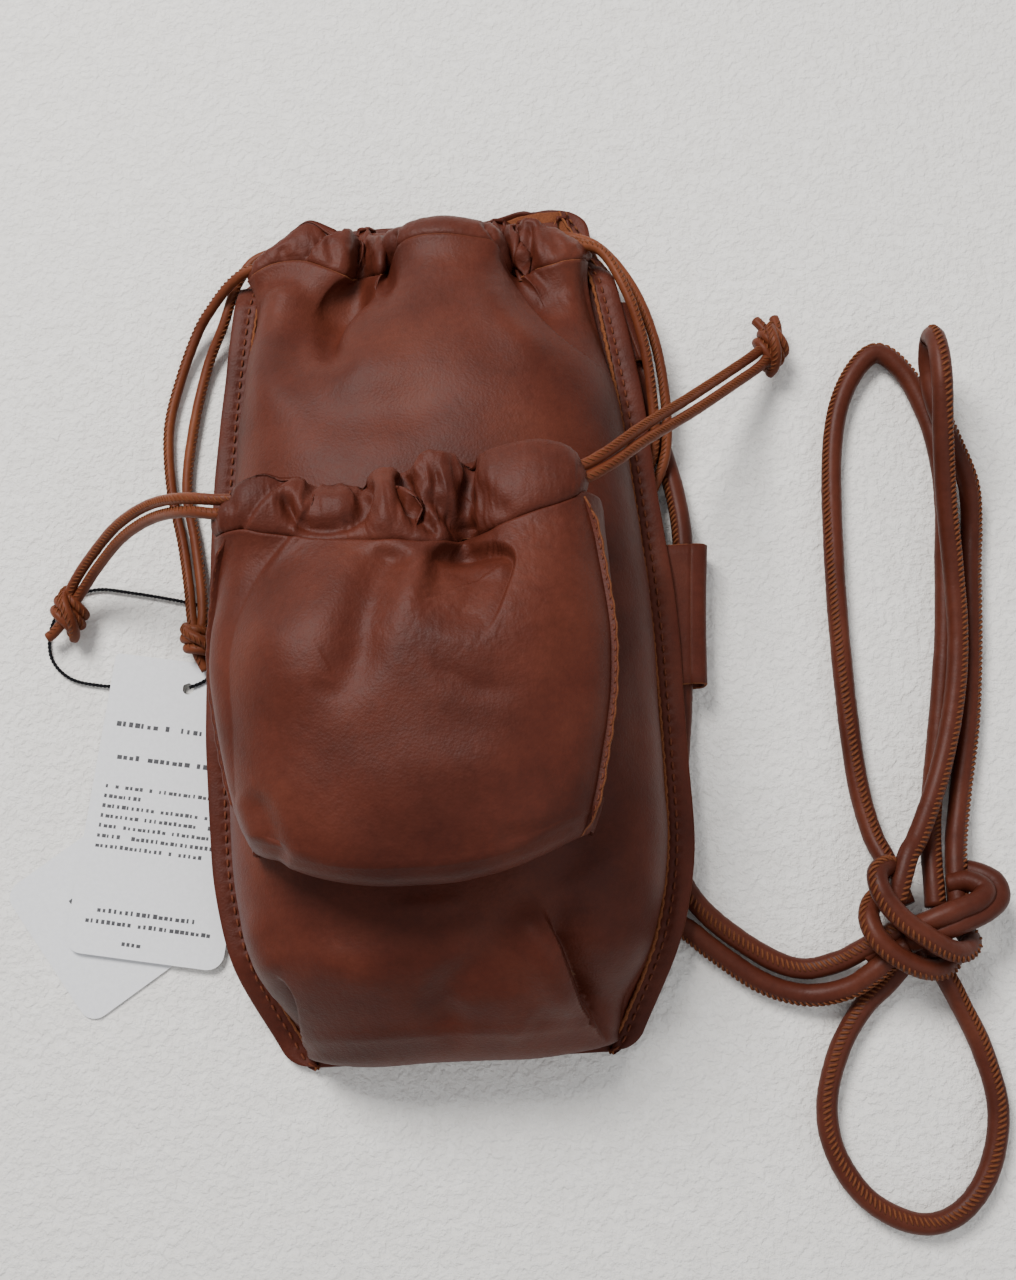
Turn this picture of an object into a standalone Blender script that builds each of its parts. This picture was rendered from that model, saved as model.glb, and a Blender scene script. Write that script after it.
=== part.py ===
"""Small leather drawstring pouch with a drawstring front pocket and a rolled shoulder strap.

The pouch lies on its back. X is its width, +Y points to its mouth and +Z to its front.
z = 0 is the surface that it lies on. Sizes are in millimetres times MM, so in metres.
"""
import math

import bpy
from mathutils import Vector

MM = 0.001

# ---- driving sizes -----------------------------------------------------------------------
ORIGIN_X = -4.99 * MM            # the pouch's centre line, from the middle of its box
GAP = 0.3 * MM                   # clearance that touching pieces keep

BACK_LIFT = 11.8 * MM            # the back panel's height over the strap and the tags
BACK_FLAT = 98 * MM              # the back panel is flat up to this distance from y = 0
BACK_DOWN = 126 * MM             # and meets the surface from here on
BACK_BOTTOM = -130.8 * MM
BACK_TOP = 130.8 * MM
BACK_THICKNESS = 1.6 * MM
LEATHER = 1.4 * MM
LINING = 0.6 * MM

BINDING_WIDTH = 7.5 * MM
BINDING_TOP = 109 * MM
BINDING_BOTTOM = -121 * MM

BODY_ROUNDNESS = 2.8             # superellipse power of the main cross-section
BODY_TOP = 103.5 * MM
BODY_END_START = -108 * MM       # the rounded bottom end begins here
BODY_END_LENGTH = 20.5 * MM
END_ROUNDNESS = 4                # superellipse power of the bottom ends, seen from the front

POCKET_X = -5.5 * MM
POCKET_ROUNDNESS = 3.2
POCKET_FOOT = 52 * MM            # the pocket stands level further out than this
POCKET_TOP = 9.5 * MM

CASING_WALL = 1.2 * MM
MAIN_CASING_Y = 113 * MM
MAIN_CASING_HALF_LENGTH = 50 * MM
MAIN_CASING_END_Z = 19 * MM
MAIN_CASING_CROWN = 14 * MM
MAIN_BACK_CASING_Y = 120.5 * MM
MAIN_BACK_CASING_Z = 10.8 * MM
POCKET_CASING_X = -6.5 * MM
POCKET_CASING_Y = 20 * MM
POCKET_CASING_HALF_LENGTH = 48 * MM
POCKET_CASING_END_Z = 70 * MM
POCKET_CASING_CROWN = 15 * MM
CASING_FLAT = 34 * MM            # the casing runs level from here out to its end

STRAP_DIAMETER = 6.2 * MM
STRAP_LIFT = 7.2 * MM            # the strap's centre height inside keepers and tabs
DRAWSTRING_DIAMETER = 3.2 * MM
STRING_DIAMETER = 1.1 * MM
KEEPER_WALL = 1.1 * MM

TAG_WIDTH = 48 * MM
TAG_LENGTH = 91 * MM
TAG_THICKNESS = 0.35 * MM
TAG_HOLE_FROM_TOP = 8.3 * MM
TAG_HOLE_RADIUS = 1.8 * MM
TAG_CORNER = 5 * MM
UPPER_TAG_HOLE = Vector((-79.2, -16.6, 1.8)) * MM
UPPER_TAG_TURN = math.radians(-10.5)
LOWER_TAG_HOLE = Vector((-54, -50.5, 0.1)) * MM
LOWER_TAG_TURN = math.radians(-57)

# the outer half width of the flat back panel, from the bottom to the top: (y, half width)
OUTLINE = ((-131.5, 49), (-127, 52.5), (-102, 64), (-77, 70), (-50, 71), (-8, 70.5),
           (30, 68.2), (69, 64.5), (109, 58.5), (131.5, 50))

# how far the front panel stands over the back panel along the middle: (y, height)
BODY_DEPTH = ((-122, 35), (-108, 41), (-77, 45), (-30, 46), (10, 45), (50, 41), (80, 35), (104, 27))

# the pocket, from its rounded bottom end to its mouth: (y, half width, height over the panel)
POCKET_ROWS = ((-58, 53.2, 27.5), (-40, 54.4, 29.5), (-20, 55, 30), (-5, 54.8, 29), (9.5, 54, 26.5))
POCKET_END_LENGTH = 25 * MM

LEATHER_COLOUR = (0.13, 0.038, 0.022)
CORD_COLOUR = (0.16, 0.045, 0.022)


# ---- small helpers -----------------------------------------------------------------------
def scaled(points):
    """Points given in millimetres, as vectors in metres."""
    return [Vector(point) * MM for point in points]


def catmull_rom(a, b, c, d, t):
    return 0.5 * (2 * b + (c - a) * t + (2 * a - 5 * b + 4 * c - d) * t * t
                  + (3 * b - a - 3 * c + d) * t * t * t)


def smooth_curve(points, steps):
    """A smooth curve through the points, with this many steps between two of them."""
    padded = [2 * points[0] - points[1], *points, 2 * points[-1] - points[-2]]
    curve = []
    for i in range(len(points) - 1):
        for step in range(steps):
            curve.append(catmull_rom(*padded[i:i + 4], step / steps))
    curve.append(points[-1])
    return curve


def even_curve(points, spacing):
    """The smooth curve through the points, with its own points about spacing apart."""
    fine = smooth_curve(points, 24)
    lengths = [0.0]
    for a, b in zip(fine, fine[1:]):
        lengths.append(lengths[-1] + (b - a).length)
    count = max(2, round(lengths[-1] / spacing))
    even = []
    i = 0
    for step in range(count + 1):
        wanted = lengths[-1] * step / count
        while i < len(fine) - 2 and lengths[i + 1] < wanted:
            i += 1
        share = (wanted - lengths[i]) / (lengths[i + 1] - lengths[i])
        even.append(fine[i].lerp(fine[i + 1], share))
    return even


def table(stations, y):
    """The value at y, in metres, of a table of (y, value) in millimetres, smoothly read."""
    position = y / MM
    last = len(stations) - 1
    i = 0
    while i < last - 1 and stations[i + 1][0] < position:
        i += 1
    t = (position - stations[i][0]) / (stations[i + 1][0] - stations[i][0])
    t = min(max(t, 0.0), 1.0)
    a = stations[max(i - 1, 0)][1]
    d = stations[min(i + 2, last)][1]
    return catmull_rom(a, stations[i][1], stations[i + 1][1], d, t) * MM


def row_positions(bottom, top):
    """Where the rows of a long sheet go: wide apart on the flat, and close on the ramps."""
    rows = [bottom]
    y = bottom
    while y < top - 1e-6:
        start = y
        on_ramp = y < -BACK_FLAT - 1e-6 or y > BACK_FLAT - 1e-6
        y += (4 if on_ramp else 14) * MM
        for stop in (-BACK_FLAT, BACK_FLAT, top):
            if start < stop - 1e-6 < y + 1e-6:
                y = min(y, stop)
        rows.append(y)
    return rows


def smoothstep(t):
    t = min(max(t, 0.0), 1.0)
    return t * t * (3 - 2 * t)


def superellipse(angle, half_a, half_b, power):
    """A point of a superellipse. A power of 2 is an ellipse, and higher is boxier."""
    c = math.cos(angle)
    s = math.sin(angle)
    a = math.copysign(abs(c) ** (2 / power), c) * half_a
    b = math.copysign(abs(s) ** (2 / power), s) * half_b
    return a, b


# ---- the pouch's own surfaces ------------------------------------------------------------
def back_height(y):
    """The back panel's underside: lifted over the strap, and down on the surface at its ends."""
    return BACK_LIFT * (1 - smoothstep((abs(y) - BACK_FLAT) / (BACK_DOWN - BACK_FLAT)))


def half_width(y):
    return table(OUTLINE, y)


def body_half_width(y):
    return half_width(max(y, BACK_BOTTOM)) - BINDING_WIDTH - GAP


def body_base(y):
    return back_height(y) + BACK_THICKNESS + GAP


def front_height(x, y):
    """The front panel's outer surface."""
    share = min(abs(x) / body_half_width(y), 1.0)
    rise = (1 - share ** BODY_ROUNDNESS) ** (1 / BODY_ROUNDNESS)
    return body_base(y) + table(BODY_DEPTH, y) * rise


# ---- scene and object helpers ------------------------------------------------------------
def clear_scene():
    for item in list(bpy.data.objects):
        bpy.data.objects.remove(item, do_unlink=True)


def material(name, colour, roughness):
    found = bpy.data.materials.get(name)
    if found:
        return found
    made = bpy.data.materials.new(name)
    made.use_nodes = True
    shader = made.node_tree.nodes["Principled BSDF"]
    shader.inputs["Base Color"].default_value = (*colour, 1)
    shader.inputs["Roughness"].default_value = roughness
    shader.inputs["Metallic"].default_value = 0
    return made


def empty(name, location, parent=None):
    made = bpy.data.objects.new(name, None)
    bpy.context.scene.collection.objects.link(made)
    made.location = location
    made.parent = parent
    return made


def add_mesh(name, points, faces, parent, colour, roughness=0.45):
    """A named mesh object whose points are in the pouch's own frame."""
    offset = Vector(parent.location) if parent.parent else Vector((0, 0, 0))
    mesh = bpy.data.meshes.new(name)
    mesh.from_pydata([Vector(point) - offset for point in points], [], faces)
    mesh.materials.append(material(name, colour, roughness))
    mesh.shade_smooth()
    mesh.set_sharp_from_angle(angle=math.radians(40))
    made = bpy.data.objects.new(name, mesh)
    bpy.context.scene.collection.objects.link(made)
    made.parent = parent
    return made


def add_sheet(name, front, back, parent, colour, roughness=0.45):
    """A sheet between two grids of points: its front face, and its back face behind it."""
    across = len(front[0])
    count = len(front) * across
    points = [point for row in front for point in row]
    points.extend(point for row in back for point in row)
    faces = []
    for r in range(len(front) - 1):
        for c in range(across - 1):
            i = r * across + c
            quad = (i, i + 1, i + across + 1, i + across)
            faces.append(quad)
            faces.append(tuple(count + k for k in reversed(quad)))
    last = len(front) - 1
    rim = [c for c in range(across)]
    rim.extend(r * across + across - 1 for r in range(1, last + 1))
    rim.extend(last * across + c for c in range(across - 2, -1, -1))
    rim.extend(r * across for r in range(last - 1, 0, -1))
    for a, b in zip(rim, rim[1:] + rim[:1]):
        faces.append((b, a, count + a, count + b))
    return add_mesh(name, points, faces, parent, colour, roughness)


def hood_skin(stations, end_length, power, across, fan, lift):
    """One skin of a hood: arches at the stations (y, half width, height), closed at its bottom
    by a rounded end. lift(x, y, z) places each point."""
    points = []
    for y, width, height in stations:
        for c in range(across + 1):
            x, z = superellipse(math.pi * (1 - c / across), width, height, power)
            points.append(lift(x, y, z))
    start, width, height = stations[0]
    for k in range(1, fan):
        turn = math.pi * (1 + k / fan)
        c = abs(math.cos(turn)) ** END_ROUNDNESS
        reach = (c + abs(math.sin(turn)) ** END_ROUNDNESS) ** (-1 / END_ROUNDNESS)
        plan_x = width * reach * math.cos(turn)
        plan_y = end_length * reach * math.sin(turn)
        for c in range(across // 2):
            spread, z = superellipse(math.pi * c / across, 1, height, power)
            points.append(lift(plan_x * spread, start + plan_y * spread, z))
    return points


def add_hood(name, outside, inside, rows, across, fan, parent, colour, roughness=0.45):
    """A hood of leather between two skins, open at its top end and at its feet."""
    half = across // 2
    count = len(outside)

    def end_point(k, c):
        if c == half:
            return half
        if k == 0:
            return c
        if k == fan:
            return across - c
        return rows * (across + 1) + (k - 1) * half + c

    skin = []
    for r in range(rows - 1):
        for c in range(across):
            i = r * (across + 1) + c
            skin.append((i, i + 1, i + across + 2, i + across + 1))
    for k in range(fan):
        for c in range(half):
            corners = [end_point(k, c), end_point(k + 1, c), end_point(k + 1, c + 1)]
            if c < half - 1:
                corners.append(end_point(k, c + 1))
            skin.append(tuple(corners))
    rim = [r * (across + 1) for r in range(rows - 1, -1, -1)]
    rim.extend(end_point(k, 0) for k in range(1, fan))
    rim.extend(r * (across + 1) + across for r in range(rows))
    rim.extend((rows - 1) * (across + 1) + c for c in range(across - 1, 0, -1))
    faces = list(skin)
    faces.extend(tuple(count + i for i in reversed(face)) for face in skin)
    for a, b in zip(rim, rim[1:] + rim[:1]):
        faces.append((b, a, count + a, count + b))
    return add_mesh(name, outside + inside, faces, parent, colour, roughness)


def lowered(rows, drop):
    return [[point - Vector((0, 0, drop)) for point in row] for row in rows]


def add_ring_sweep(name, outer_loops, inner_loops, parent, colour):
    """A tube with an open hollow: matching loops of its outer and its inner wall."""
    count = len(outer_loops[0])
    points = []
    for outer, inner in zip(outer_loops, inner_loops):
        points.extend(outer)
        points.extend(inner)
    faces = []
    for k in range(count):
        n = (k + 1) % count
        for r in range(len(outer_loops) - 1):
            a = r * 2 * count
            b = a + 2 * count
            faces.append((a + k, b + k, b + n, a + n))
            faces.append((a + count + n, b + count + n, b + count + k, a + count + k))
        end = (len(outer_loops) - 1) * 2 * count
        faces.append((k, n, count + n, count + k))
        faces.append((end + n, end + k, end + count + k, end + count + n))
    return add_mesh(name, points, faces, parent, colour)


def add_cord(name, points, diameter, parent, colour, spacing=2.2):
    """A round cord along a smooth curve through the points."""
    offset = Vector(parent.location) if parent.parent else Vector((0, 0, 0))
    route = [point - offset for point in even_curve(points, spacing * diameter)]
    curve = bpy.data.curves.new(name, "CURVE")
    curve.dimensions = "3D"
    curve.bevel_depth = diameter / 2
    curve.bevel_resolution = 3 if diameter > 4 * MM else 2
    curve.use_fill_caps = True
    spline = curve.splines.new("POLY")
    spline.points.add(len(route) - 1)
    for point, place in zip(spline.points, route):
        point.co = (*place, 1)
    curve.materials.append(material(name, colour, 0.5))
    made = bpy.data.objects.new(name, curve)
    bpy.context.scene.collection.objects.link(made)
    made.parent = parent
    return made


def add_knot(name, centre, radii, parent, colour, lobes):
    """A knot's outer shape: an ellipsoid with the low waves of the cord's turns around it."""
    rings = 9
    around = 18
    centre = Vector(centre) * MM
    points = [centre + Vector((0, 0, radii[2] * MM))]
    for r in range(1, rings):
        tilt = math.pi * r / rings
        for k in range(around):
            turn = math.tau * k / around
            swell = 1 - 0.05 * (1 - math.cos(lobes * turn + 2 * tilt)) * math.sin(tilt)
            x = math.sin(tilt) * math.cos(turn) * radii[0] * MM * swell
            y = math.sin(tilt) * math.sin(turn) * radii[1] * MM * swell
            points.append(centre + Vector((x, y, math.cos(tilt) * radii[2] * MM)))
    points.append(centre - Vector((0, 0, radii[2] * MM)))
    faces = []
    last = len(points) - 1
    for k in range(around):
        n = (k + 1) % around
        faces.append((0, 1 + k, 1 + n))
        for r in range(rings - 2):
            a = 1 + r * around
            b = a + around
            faces.append((a + k, b + k, b + n, a + n))
        end = 1 + (rings - 2) * around
        faces.append((end + k, last, end + n))
    return add_mesh(name, points, faces, parent, colour, 0.5)


# ---- the pouch ---------------------------------------------------------------------------
def add_back_panel(frame):
    rows = []
    for y in row_positions(BACK_BOTTOM, BACK_TOP):
        edge = half_width(y)
        z = back_height(y) + BACK_THICKNESS
        rows.append([Vector((edge * (c / 2 - 1), y, z)) for c in range(5)])
    add_sheet("back_panel", rows, lowered(rows, BACK_THICKNESS), frame, LEATHER_COLOUR)


def body_skin(inset, across, fan):
    """The main shell, inset from the front panel's outer surface, on the back panel."""
    stations = []
    for y in row_positions(BODY_END_START, BODY_TOP):
        stations.append((y, body_half_width(y) - inset, table(BODY_DEPTH, y) - inset))

    def lift(x, y, z):
        taper = min(body_half_width(y) / body_half_width(BODY_END_START), 1) if y < BODY_END_START else 1
        return Vector((x * taper, y, body_base(y) + z))

    length = BODY_END_LENGTH - inset
    return len(stations), hood_skin(stations, length, BODY_ROUNDNESS, across, fan, lift)


def add_body(frame):
    for name, inset, thickness, across, fan, colour, roughness in (
            ("front_panel", 0, LEATHER, 20, 14, LEATHER_COLOUR, 0.45),
            ("main_lining", LEATHER + 0.9 * MM, LINING, 14, 10, (0.2, 0.1, 0.06), 0.8)):
        rows, outside = body_skin(inset, across, fan)
        rows, inside = body_skin(inset + thickness, across, fan)
        add_hood(name, outside, inside, rows, across, fan, frame, colour, roughness)


def add_side_binding(name, side, frame):
    """The flat strip that covers the seam along one side of the pouch."""
    rows = []
    for y in row_positions(BINDING_BOTTOM, BINDING_TOP):
        outer = half_width(y)
        z = back_height(y) + BACK_THICKNESS + GAP + LEATHER
        edges = [outer - BINDING_WIDTH, outer - BINDING_WIDTH / 2, outer]
        row = [Vector((side * x, y, z)) for x in edges]
        if side < 0:
            row.reverse()
        rows.append(row)
    add_sheet(name, rows, lowered(rows, LEATHER), frame, LEATHER_COLOUR)


def crown(offset, end_z, height):
    """A casing's centre height, level at its ends and raised in the middle."""
    if abs(offset) >= CASING_FLAT:
        return end_z
    return end_z + height * 0.5 * (1 + math.cos(math.pi * offset / CASING_FLAT))


def add_casing(name, centre_x, half_length, centre_y, half_y, half_z, height, frame):
    """A flat leather tunnel for the drawstrings, along X; height gives its centre's z at x."""
    stations = 14
    outer_loops = []
    inner_loops = []
    for r in range(stations + 1):
        offset = half_length * (2 * r / stations - 1)
        x = centre_x + offset
        z = height(x)
        outer = []
        inner = []
        for k in range(16):
            angle = math.tau * k / 16
            y, dz = superellipse(angle, half_y, half_z, 3.5)
            outer.append(Vector((x, centre_y + y, z + dz)))
            y, dz = superellipse(angle, half_y - CASING_WALL, half_z - CASING_WALL, 3.5)
            inner.append(Vector((x, centre_y + y, z + dz)))
        outer_loops.append(list(reversed(outer)))
        inner_loops.append(list(reversed(inner)))
    add_ring_sweep(name, outer_loops, inner_loops, frame, LEATHER_COLOUR)


def main_casing_height(x):
    return crown(x, MAIN_CASING_END_Z, MAIN_CASING_CROWN)


def pocket_casing_height(x):
    return crown(x - POCKET_CASING_X, POCKET_CASING_END_Z, POCKET_CASING_CROWN)


def pocket_back_casing_height(x):
    return front_height(x, POCKET_CASING_Y) + 1.9 * MM + 3 * MM


def add_casings(frame):
    add_casing("main_casing_front", 0, MAIN_CASING_HALF_LENGTH, MAIN_CASING_Y,
               8 * MM, 3.5 * MM, main_casing_height, frame)
    add_casing("main_casing_back", 0, 48 * MM, MAIN_BACK_CASING_Y, 7 * MM, 3.5 * MM,
               lambda x: MAIN_BACK_CASING_Z, frame)
    add_casing("pocket_casing_front", POCKET_CASING_X, POCKET_CASING_HALF_LENGTH,
               POCKET_CASING_Y, 9 * MM, 3.5 * MM, pocket_casing_height, frame)
    add_casing("pocket_casing_back", POCKET_CASING_X, 37 * MM, POCKET_CASING_Y, 7 * MM,
               2.8 * MM, pocket_back_casing_height, frame)


def pocket_place(x, y, z):
    foot = min(max(x + POCKET_X, -POCKET_FOOT), POCKET_FOOT)
    return Vector((x + POCKET_X, y, front_height(foot, y) + 0.5 * MM + z))


def pocket_stations(inset):
    rows = smooth_curve([Vector(row) * MM for row in POCKET_ROWS], 2)
    return [(y, width - inset, height - inset) for y, width, height in rows]


def pocket_skin(inset, across, fan):
    length = POCKET_END_LENGTH - inset
    return hood_skin(pocket_stations(inset), length, POCKET_ROUNDNESS, across, fan, pocket_place)


def add_pocket(frame):
    across = 22
    fan = 14
    rows = len(pocket_stations(0))
    outside = pocket_skin(0, across, fan)
    inside = pocket_skin(LEATHER, across, fan)
    add_hood("pocket_front", outside, inside, rows, across, fan, frame, LEATHER_COLOUR)
    rows = []
    for r in range(9):
        y = (-64 + 93 * r / 8) * MM
        row = []
        for c in range(13):
            x = POCKET_X + 36 * MM * (c / 6 - 1)
            row.append(Vector((x, y, front_height(x, y) + GAP + 1.1 * MM)))
        rows.append(row)
    add_sheet("pocket_back", rows, lowered(rows, 1 * MM), frame, LEATHER_COLOUR)


def add_pocket_seam(name, side, frame):
    """The thin raised seam between the pocket's front and its gusset."""
    route = []
    tilt = math.radians(24)
    for y, width, height in pocket_stations(-1.3 * MM):
        angle = tilt if side > 0 else math.pi - tilt
        x, z = superellipse(angle, width, height, POCKET_ROUNDNESS)
        route.append(pocket_place(x, y, z))
    add_cord(name, route, 1.4 * MM, frame, LEATHER_COLOUR, 6)


# ---- the strap's keepers and tabs --------------------------------------------------------
def add_keeper(name, half_x, start, end, frame):
    """A leather loop behind the back panel, that the strap runs through along Y."""
    outer_loops = []
    inner_loops = []
    half_z = STRAP_DIAMETER / 2 + GAP + KEEPER_WALL
    stations = 3
    for r in range(stations + 1):
        centre = start.lerp(end, r / stations)
        outer = []
        inner = []
        for k in range(20):
            angle = math.tau * k / 20
            x, z = superellipse(angle, half_x, half_z, 5)
            outer.append(centre + Vector((x, 0, z)))
            x, z = superellipse(angle, half_x - KEEPER_WALL, half_z - KEEPER_WALL, 5)
            inner.append(centre + Vector((x, 0, z)))
        outer_loops.append(outer)
        inner_loops.append(inner)
    add_ring_sweep(name, outer_loops, inner_loops, frame, LEATHER_COLOUR)


def add_keepers(frame):
    lift = STRAP_LIFT
    add_keeper("right_keeper", 9.2 * MM, Vector((68.5 * MM, -25.5 * MM, lift)),
               Vector((71.8 * MM, 17 * MM, lift)), frame)
    add_keeper("left_keeper", 9.2 * MM, Vector((-57 * MM, -25.5 * MM, lift)),
               Vector((-57 * MM, 17 * MM, lift)), frame)
    for name, low_x, high_x in (("right_strap_tab", 62.6, 57.4), ("left_strap_tab", -57.6, -54.4)):
        add_keeper(name, 5.6 * MM, Vector((low_x * MM, 77 * MM, lift)),
                   Vector((high_x * MM, 96 * MM, lift)), frame)


# ---- the shoulder strap ------------------------------------------------------------------
STRAP_KNOT_CENTRE = (136, -98, 12.6)
STRAP_KNOT_RADII = (18.5, 15.5, 12)

STRAP_RIGHT = ((58, 94.5, 7.2), (60.2, 86, 7.2), (62.6, 78, 7.2), (65.8, 69, 6.6), (70.8, 51, 4.2),
               (74.2, 33, 5), (74.8, 17, 7.2), (73.2, -4, 7.2), (71.4, -26, 7.2), (69.5, -43, 5.4),
               (67, -58, 4), (65.5, -71, 3.6), (66.8, -82, 3.6), (71.4, -90.4, 3.6),
               (79.4, -98.6, 3.6), (91.6, -107.4, 3.6), (101.1, -110.6, 4.2), (110.6, -109, 6.4),
               (116.4, -106.4, 8.6))

STRAP_LEFT = ((-54.8, 94.5, 7.2), (-56.2, 86, 7.2), (-57.7, 77, 7.2), (-58, 50, 6.4), (-57.2, 18, 7.2),
              (-57, -4, 7.2), (-56.6, -26, 7.2), (-53, -45, 5.6), (-44, -63, 4.4), (-28, -77, 3.6),
              (-8, -86, 3.6), (14, -90.5, 3.6), (36, -92, 3.6), (54, -92.6, 3.6), (65.6, -96, 3.6),
              (75, -103.8, 3.6), (88.4, -113.8, 3.6), (101, -118, 4.6), (112, -116.6, 8.4),
              (119.2, -112.6, 11.2))

STRAP_LOOP_OUTER = ((126.6, -80.5, 8.6), (124, -72, 5.4), (121.6, -55, 3.6), (120.6, -25, 3.6),
                    (121.2, 11, 3.6), (123.8, 46, 3.6), (129.6, 66, 3.6), (140, 77.5, 3.6),
                    (149, 70, 3.6), (154.6, 55, 3.6), (156.8, 41, 3.6), (156.8, 26, 3.6),
                    (155, 10, 3.6), (152.4, -14, 3.6), (148.6, -36, 3.6), (144.2, -58, 3.8),
                    (141.4, -72, 6), (140, -80.5, 9))

STRAP_LOOP_INNER = ((131.8, -79.5, 16.5), (135.8, -74, 14.4), (144.6, -56, 11), (151, -36, 10.2),
                    (154.4, -16, 10.4), (154.6, 6, 13), (153.4, 24, 18), (152.8, 42, 24.5),
                    (153, 57, 29.4), (153.3, 68, 28.6), (153.6, 74.5, 23.6), (153.9, 74.8, 17.4),
                    (154.2, 69, 12.4), (155.4, 58, 10.6), (159, 45, 10.8), (163.4, 32, 8),
                    (164, 20, 4.4), (162.4, 6, 3.6), (160.2, -16, 3.6), (156.8, -40, 3.6),
                    (152.2, -60, 3.8), (149.2, -72, 5.6), (147.2, -80, 8.4))

STRAP_END_LOOP = ((124.4, -116, 4.4), (117, -122.4, 3.6), (109, -134, 3.6), (104, -149, 3.6),
                  (105.4, -163, 3.6), (113.6, -176, 3.6), (127, -183, 3.6), (139, -180.4, 3.6),
                  (148.4, -169.4, 3.6), (152.8, -153, 3.6), (150, -136, 3.8), (144.6, -123, 6),
                  (141.4, -116.6, 8.4))


def add_strap(frame):
    for name, route in (("strap_right", STRAP_RIGHT), ("strap_left", STRAP_LEFT),
                        ("strap_loop_outer", STRAP_LOOP_OUTER), ("strap_loop_inner", STRAP_LOOP_INNER),
                        ("strap_end_loop", STRAP_END_LOOP)):
        add_cord(name, scaled(route), STRAP_DIAMETER, frame, CORD_COLOUR, 1.8)
    add_knot("strap_knot", STRAP_KNOT_CENTRE, STRAP_KNOT_RADII, frame, CORD_COLOUR, 3)


# ---- the drawstrings ---------------------------------------------------------------------
MAIN_LEFT_FRONT = ((-38, 113, 19), (-44, 113, 19), (-50, 113, 19), (-56, 112, 17.4), (-62, 109, 13.4),
                   (-68, 104.4, 8.8), (-73.6, 98, 4.8), (-80, 83, 2.4), (-84, 66.5, 2), (-83.4, 47, 2),
                   (-80.2, 30, 2.4), (-78, 15, 4.2), (-76.8, 5.2, 6.6))
MAIN_LEFT_BACK = ((-37, 120.5, 10.8), (-42, 120.5, 10.8), (-48, 120.5, 10.8), (-54.6, 118.4, 10),
                  (-59.6, 112, 9.2), (-62.2, 106.6, 8.2), (-65, 99.4, 6.6), (-71.2, 87, 2.6),
                  (-76.2, 67, 2), (-78.6, 47, 2), (-76.2, 30, 2.4), (-74.2, 15, 4.2), (-73.4, 5, 6.6))
MAIN_RIGHT_FRONT = ((38, 113, 19), (44, 113, 19), (50, 113, 19), (56.6, 109.4, 19), (63, 95, 19),
                    (66.8, 80, 16.6), (68.4, 64, 13.2), (68.4, 52, 10.8), (67, 45, 8.9),
                    (63.4, 37.4, 6.8), (59.6, 31.2, 6))
MAIN_RIGHT_BACK = ((37, 120.5, 10.8), (42, 120.5, 10.8), (48, 120.5, 10.8), (55.4, 118.4, 11.2),
                   (62, 110, 12.4), (67.2, 96, 13.4), (70.8, 81, 12.8), (72.4, 66, 11.8),
                   (72.4, 54, 10.6), (71, 45, 9.9), (67.6, 37.4, 8.9), (63.6, 30.2, 7.8))
POCKET_LEFT_FRONT = ((-41, 18.6, 70), (-47, 18.6, 70), (-55, 18.6, 70), (-66, 21.4, 64.6),
                     (-79, 24.8, 47.6), (-91.6, 24.2, 31.4), (-102.6, 19.4, 17.6), (-108.6, 15, 11))
POCKET_LEFT_BACK = ((-41, 22.4, 70), (-47, 22.4, 70), (-55, 22.6, 70), (-67, 25, 65.4),
                    (-80, 28.4, 48.6), (-93, 27.6, 32.4), (-104.6, 22.4, 18.4), (-111.4, 17, 11.4))
POCKET_RIGHT_FRONT = ((28, 21.6, 70), (34, 21.6, 70), (42, 22, 70), (51, 27, 66.6), (62, 37, 55.4),
                      (78, 51, 36), (94, 65.4, 18.6), (102.4, 72.6, 11.6))
POCKET_RIGHT_BACK = ((28, 25.4, 70), (34, 25.4, 70), (42, 25.8, 70), (50, 30.4, 67),
                     (60.4, 40.2, 56), (76, 54.4, 36.8), (91.6, 68.6, 19.2), (99.6, 75.4, 12.4))
TAG_STRING = ((-78.6, -16.4, 2.9), (-74, -14.6, 2.9), (-69.6, -11, 2.9), (-67.6, -6, 2.6),
              (-67.8, -0.6, 1.2), (-70.4, 5, 0.7), (-74, 8.6, 0.7), (-80, 11, 0.7), (-97, 15, 0.7), (-108, 16.6, 0.7), (-117, 13.4, 0.7),
              (-122, 5, 0.7), (-121.8, -4.4, 0.7), (-116, -11, 0.7), (-106.6, -13.8, 0.7),
              (-94, -15.4, 0.7), (-82, -20, 0.8), (-74, -28, 1.1), (-66, -38, 1.1), (-56.6, -48, 1.1))


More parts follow.
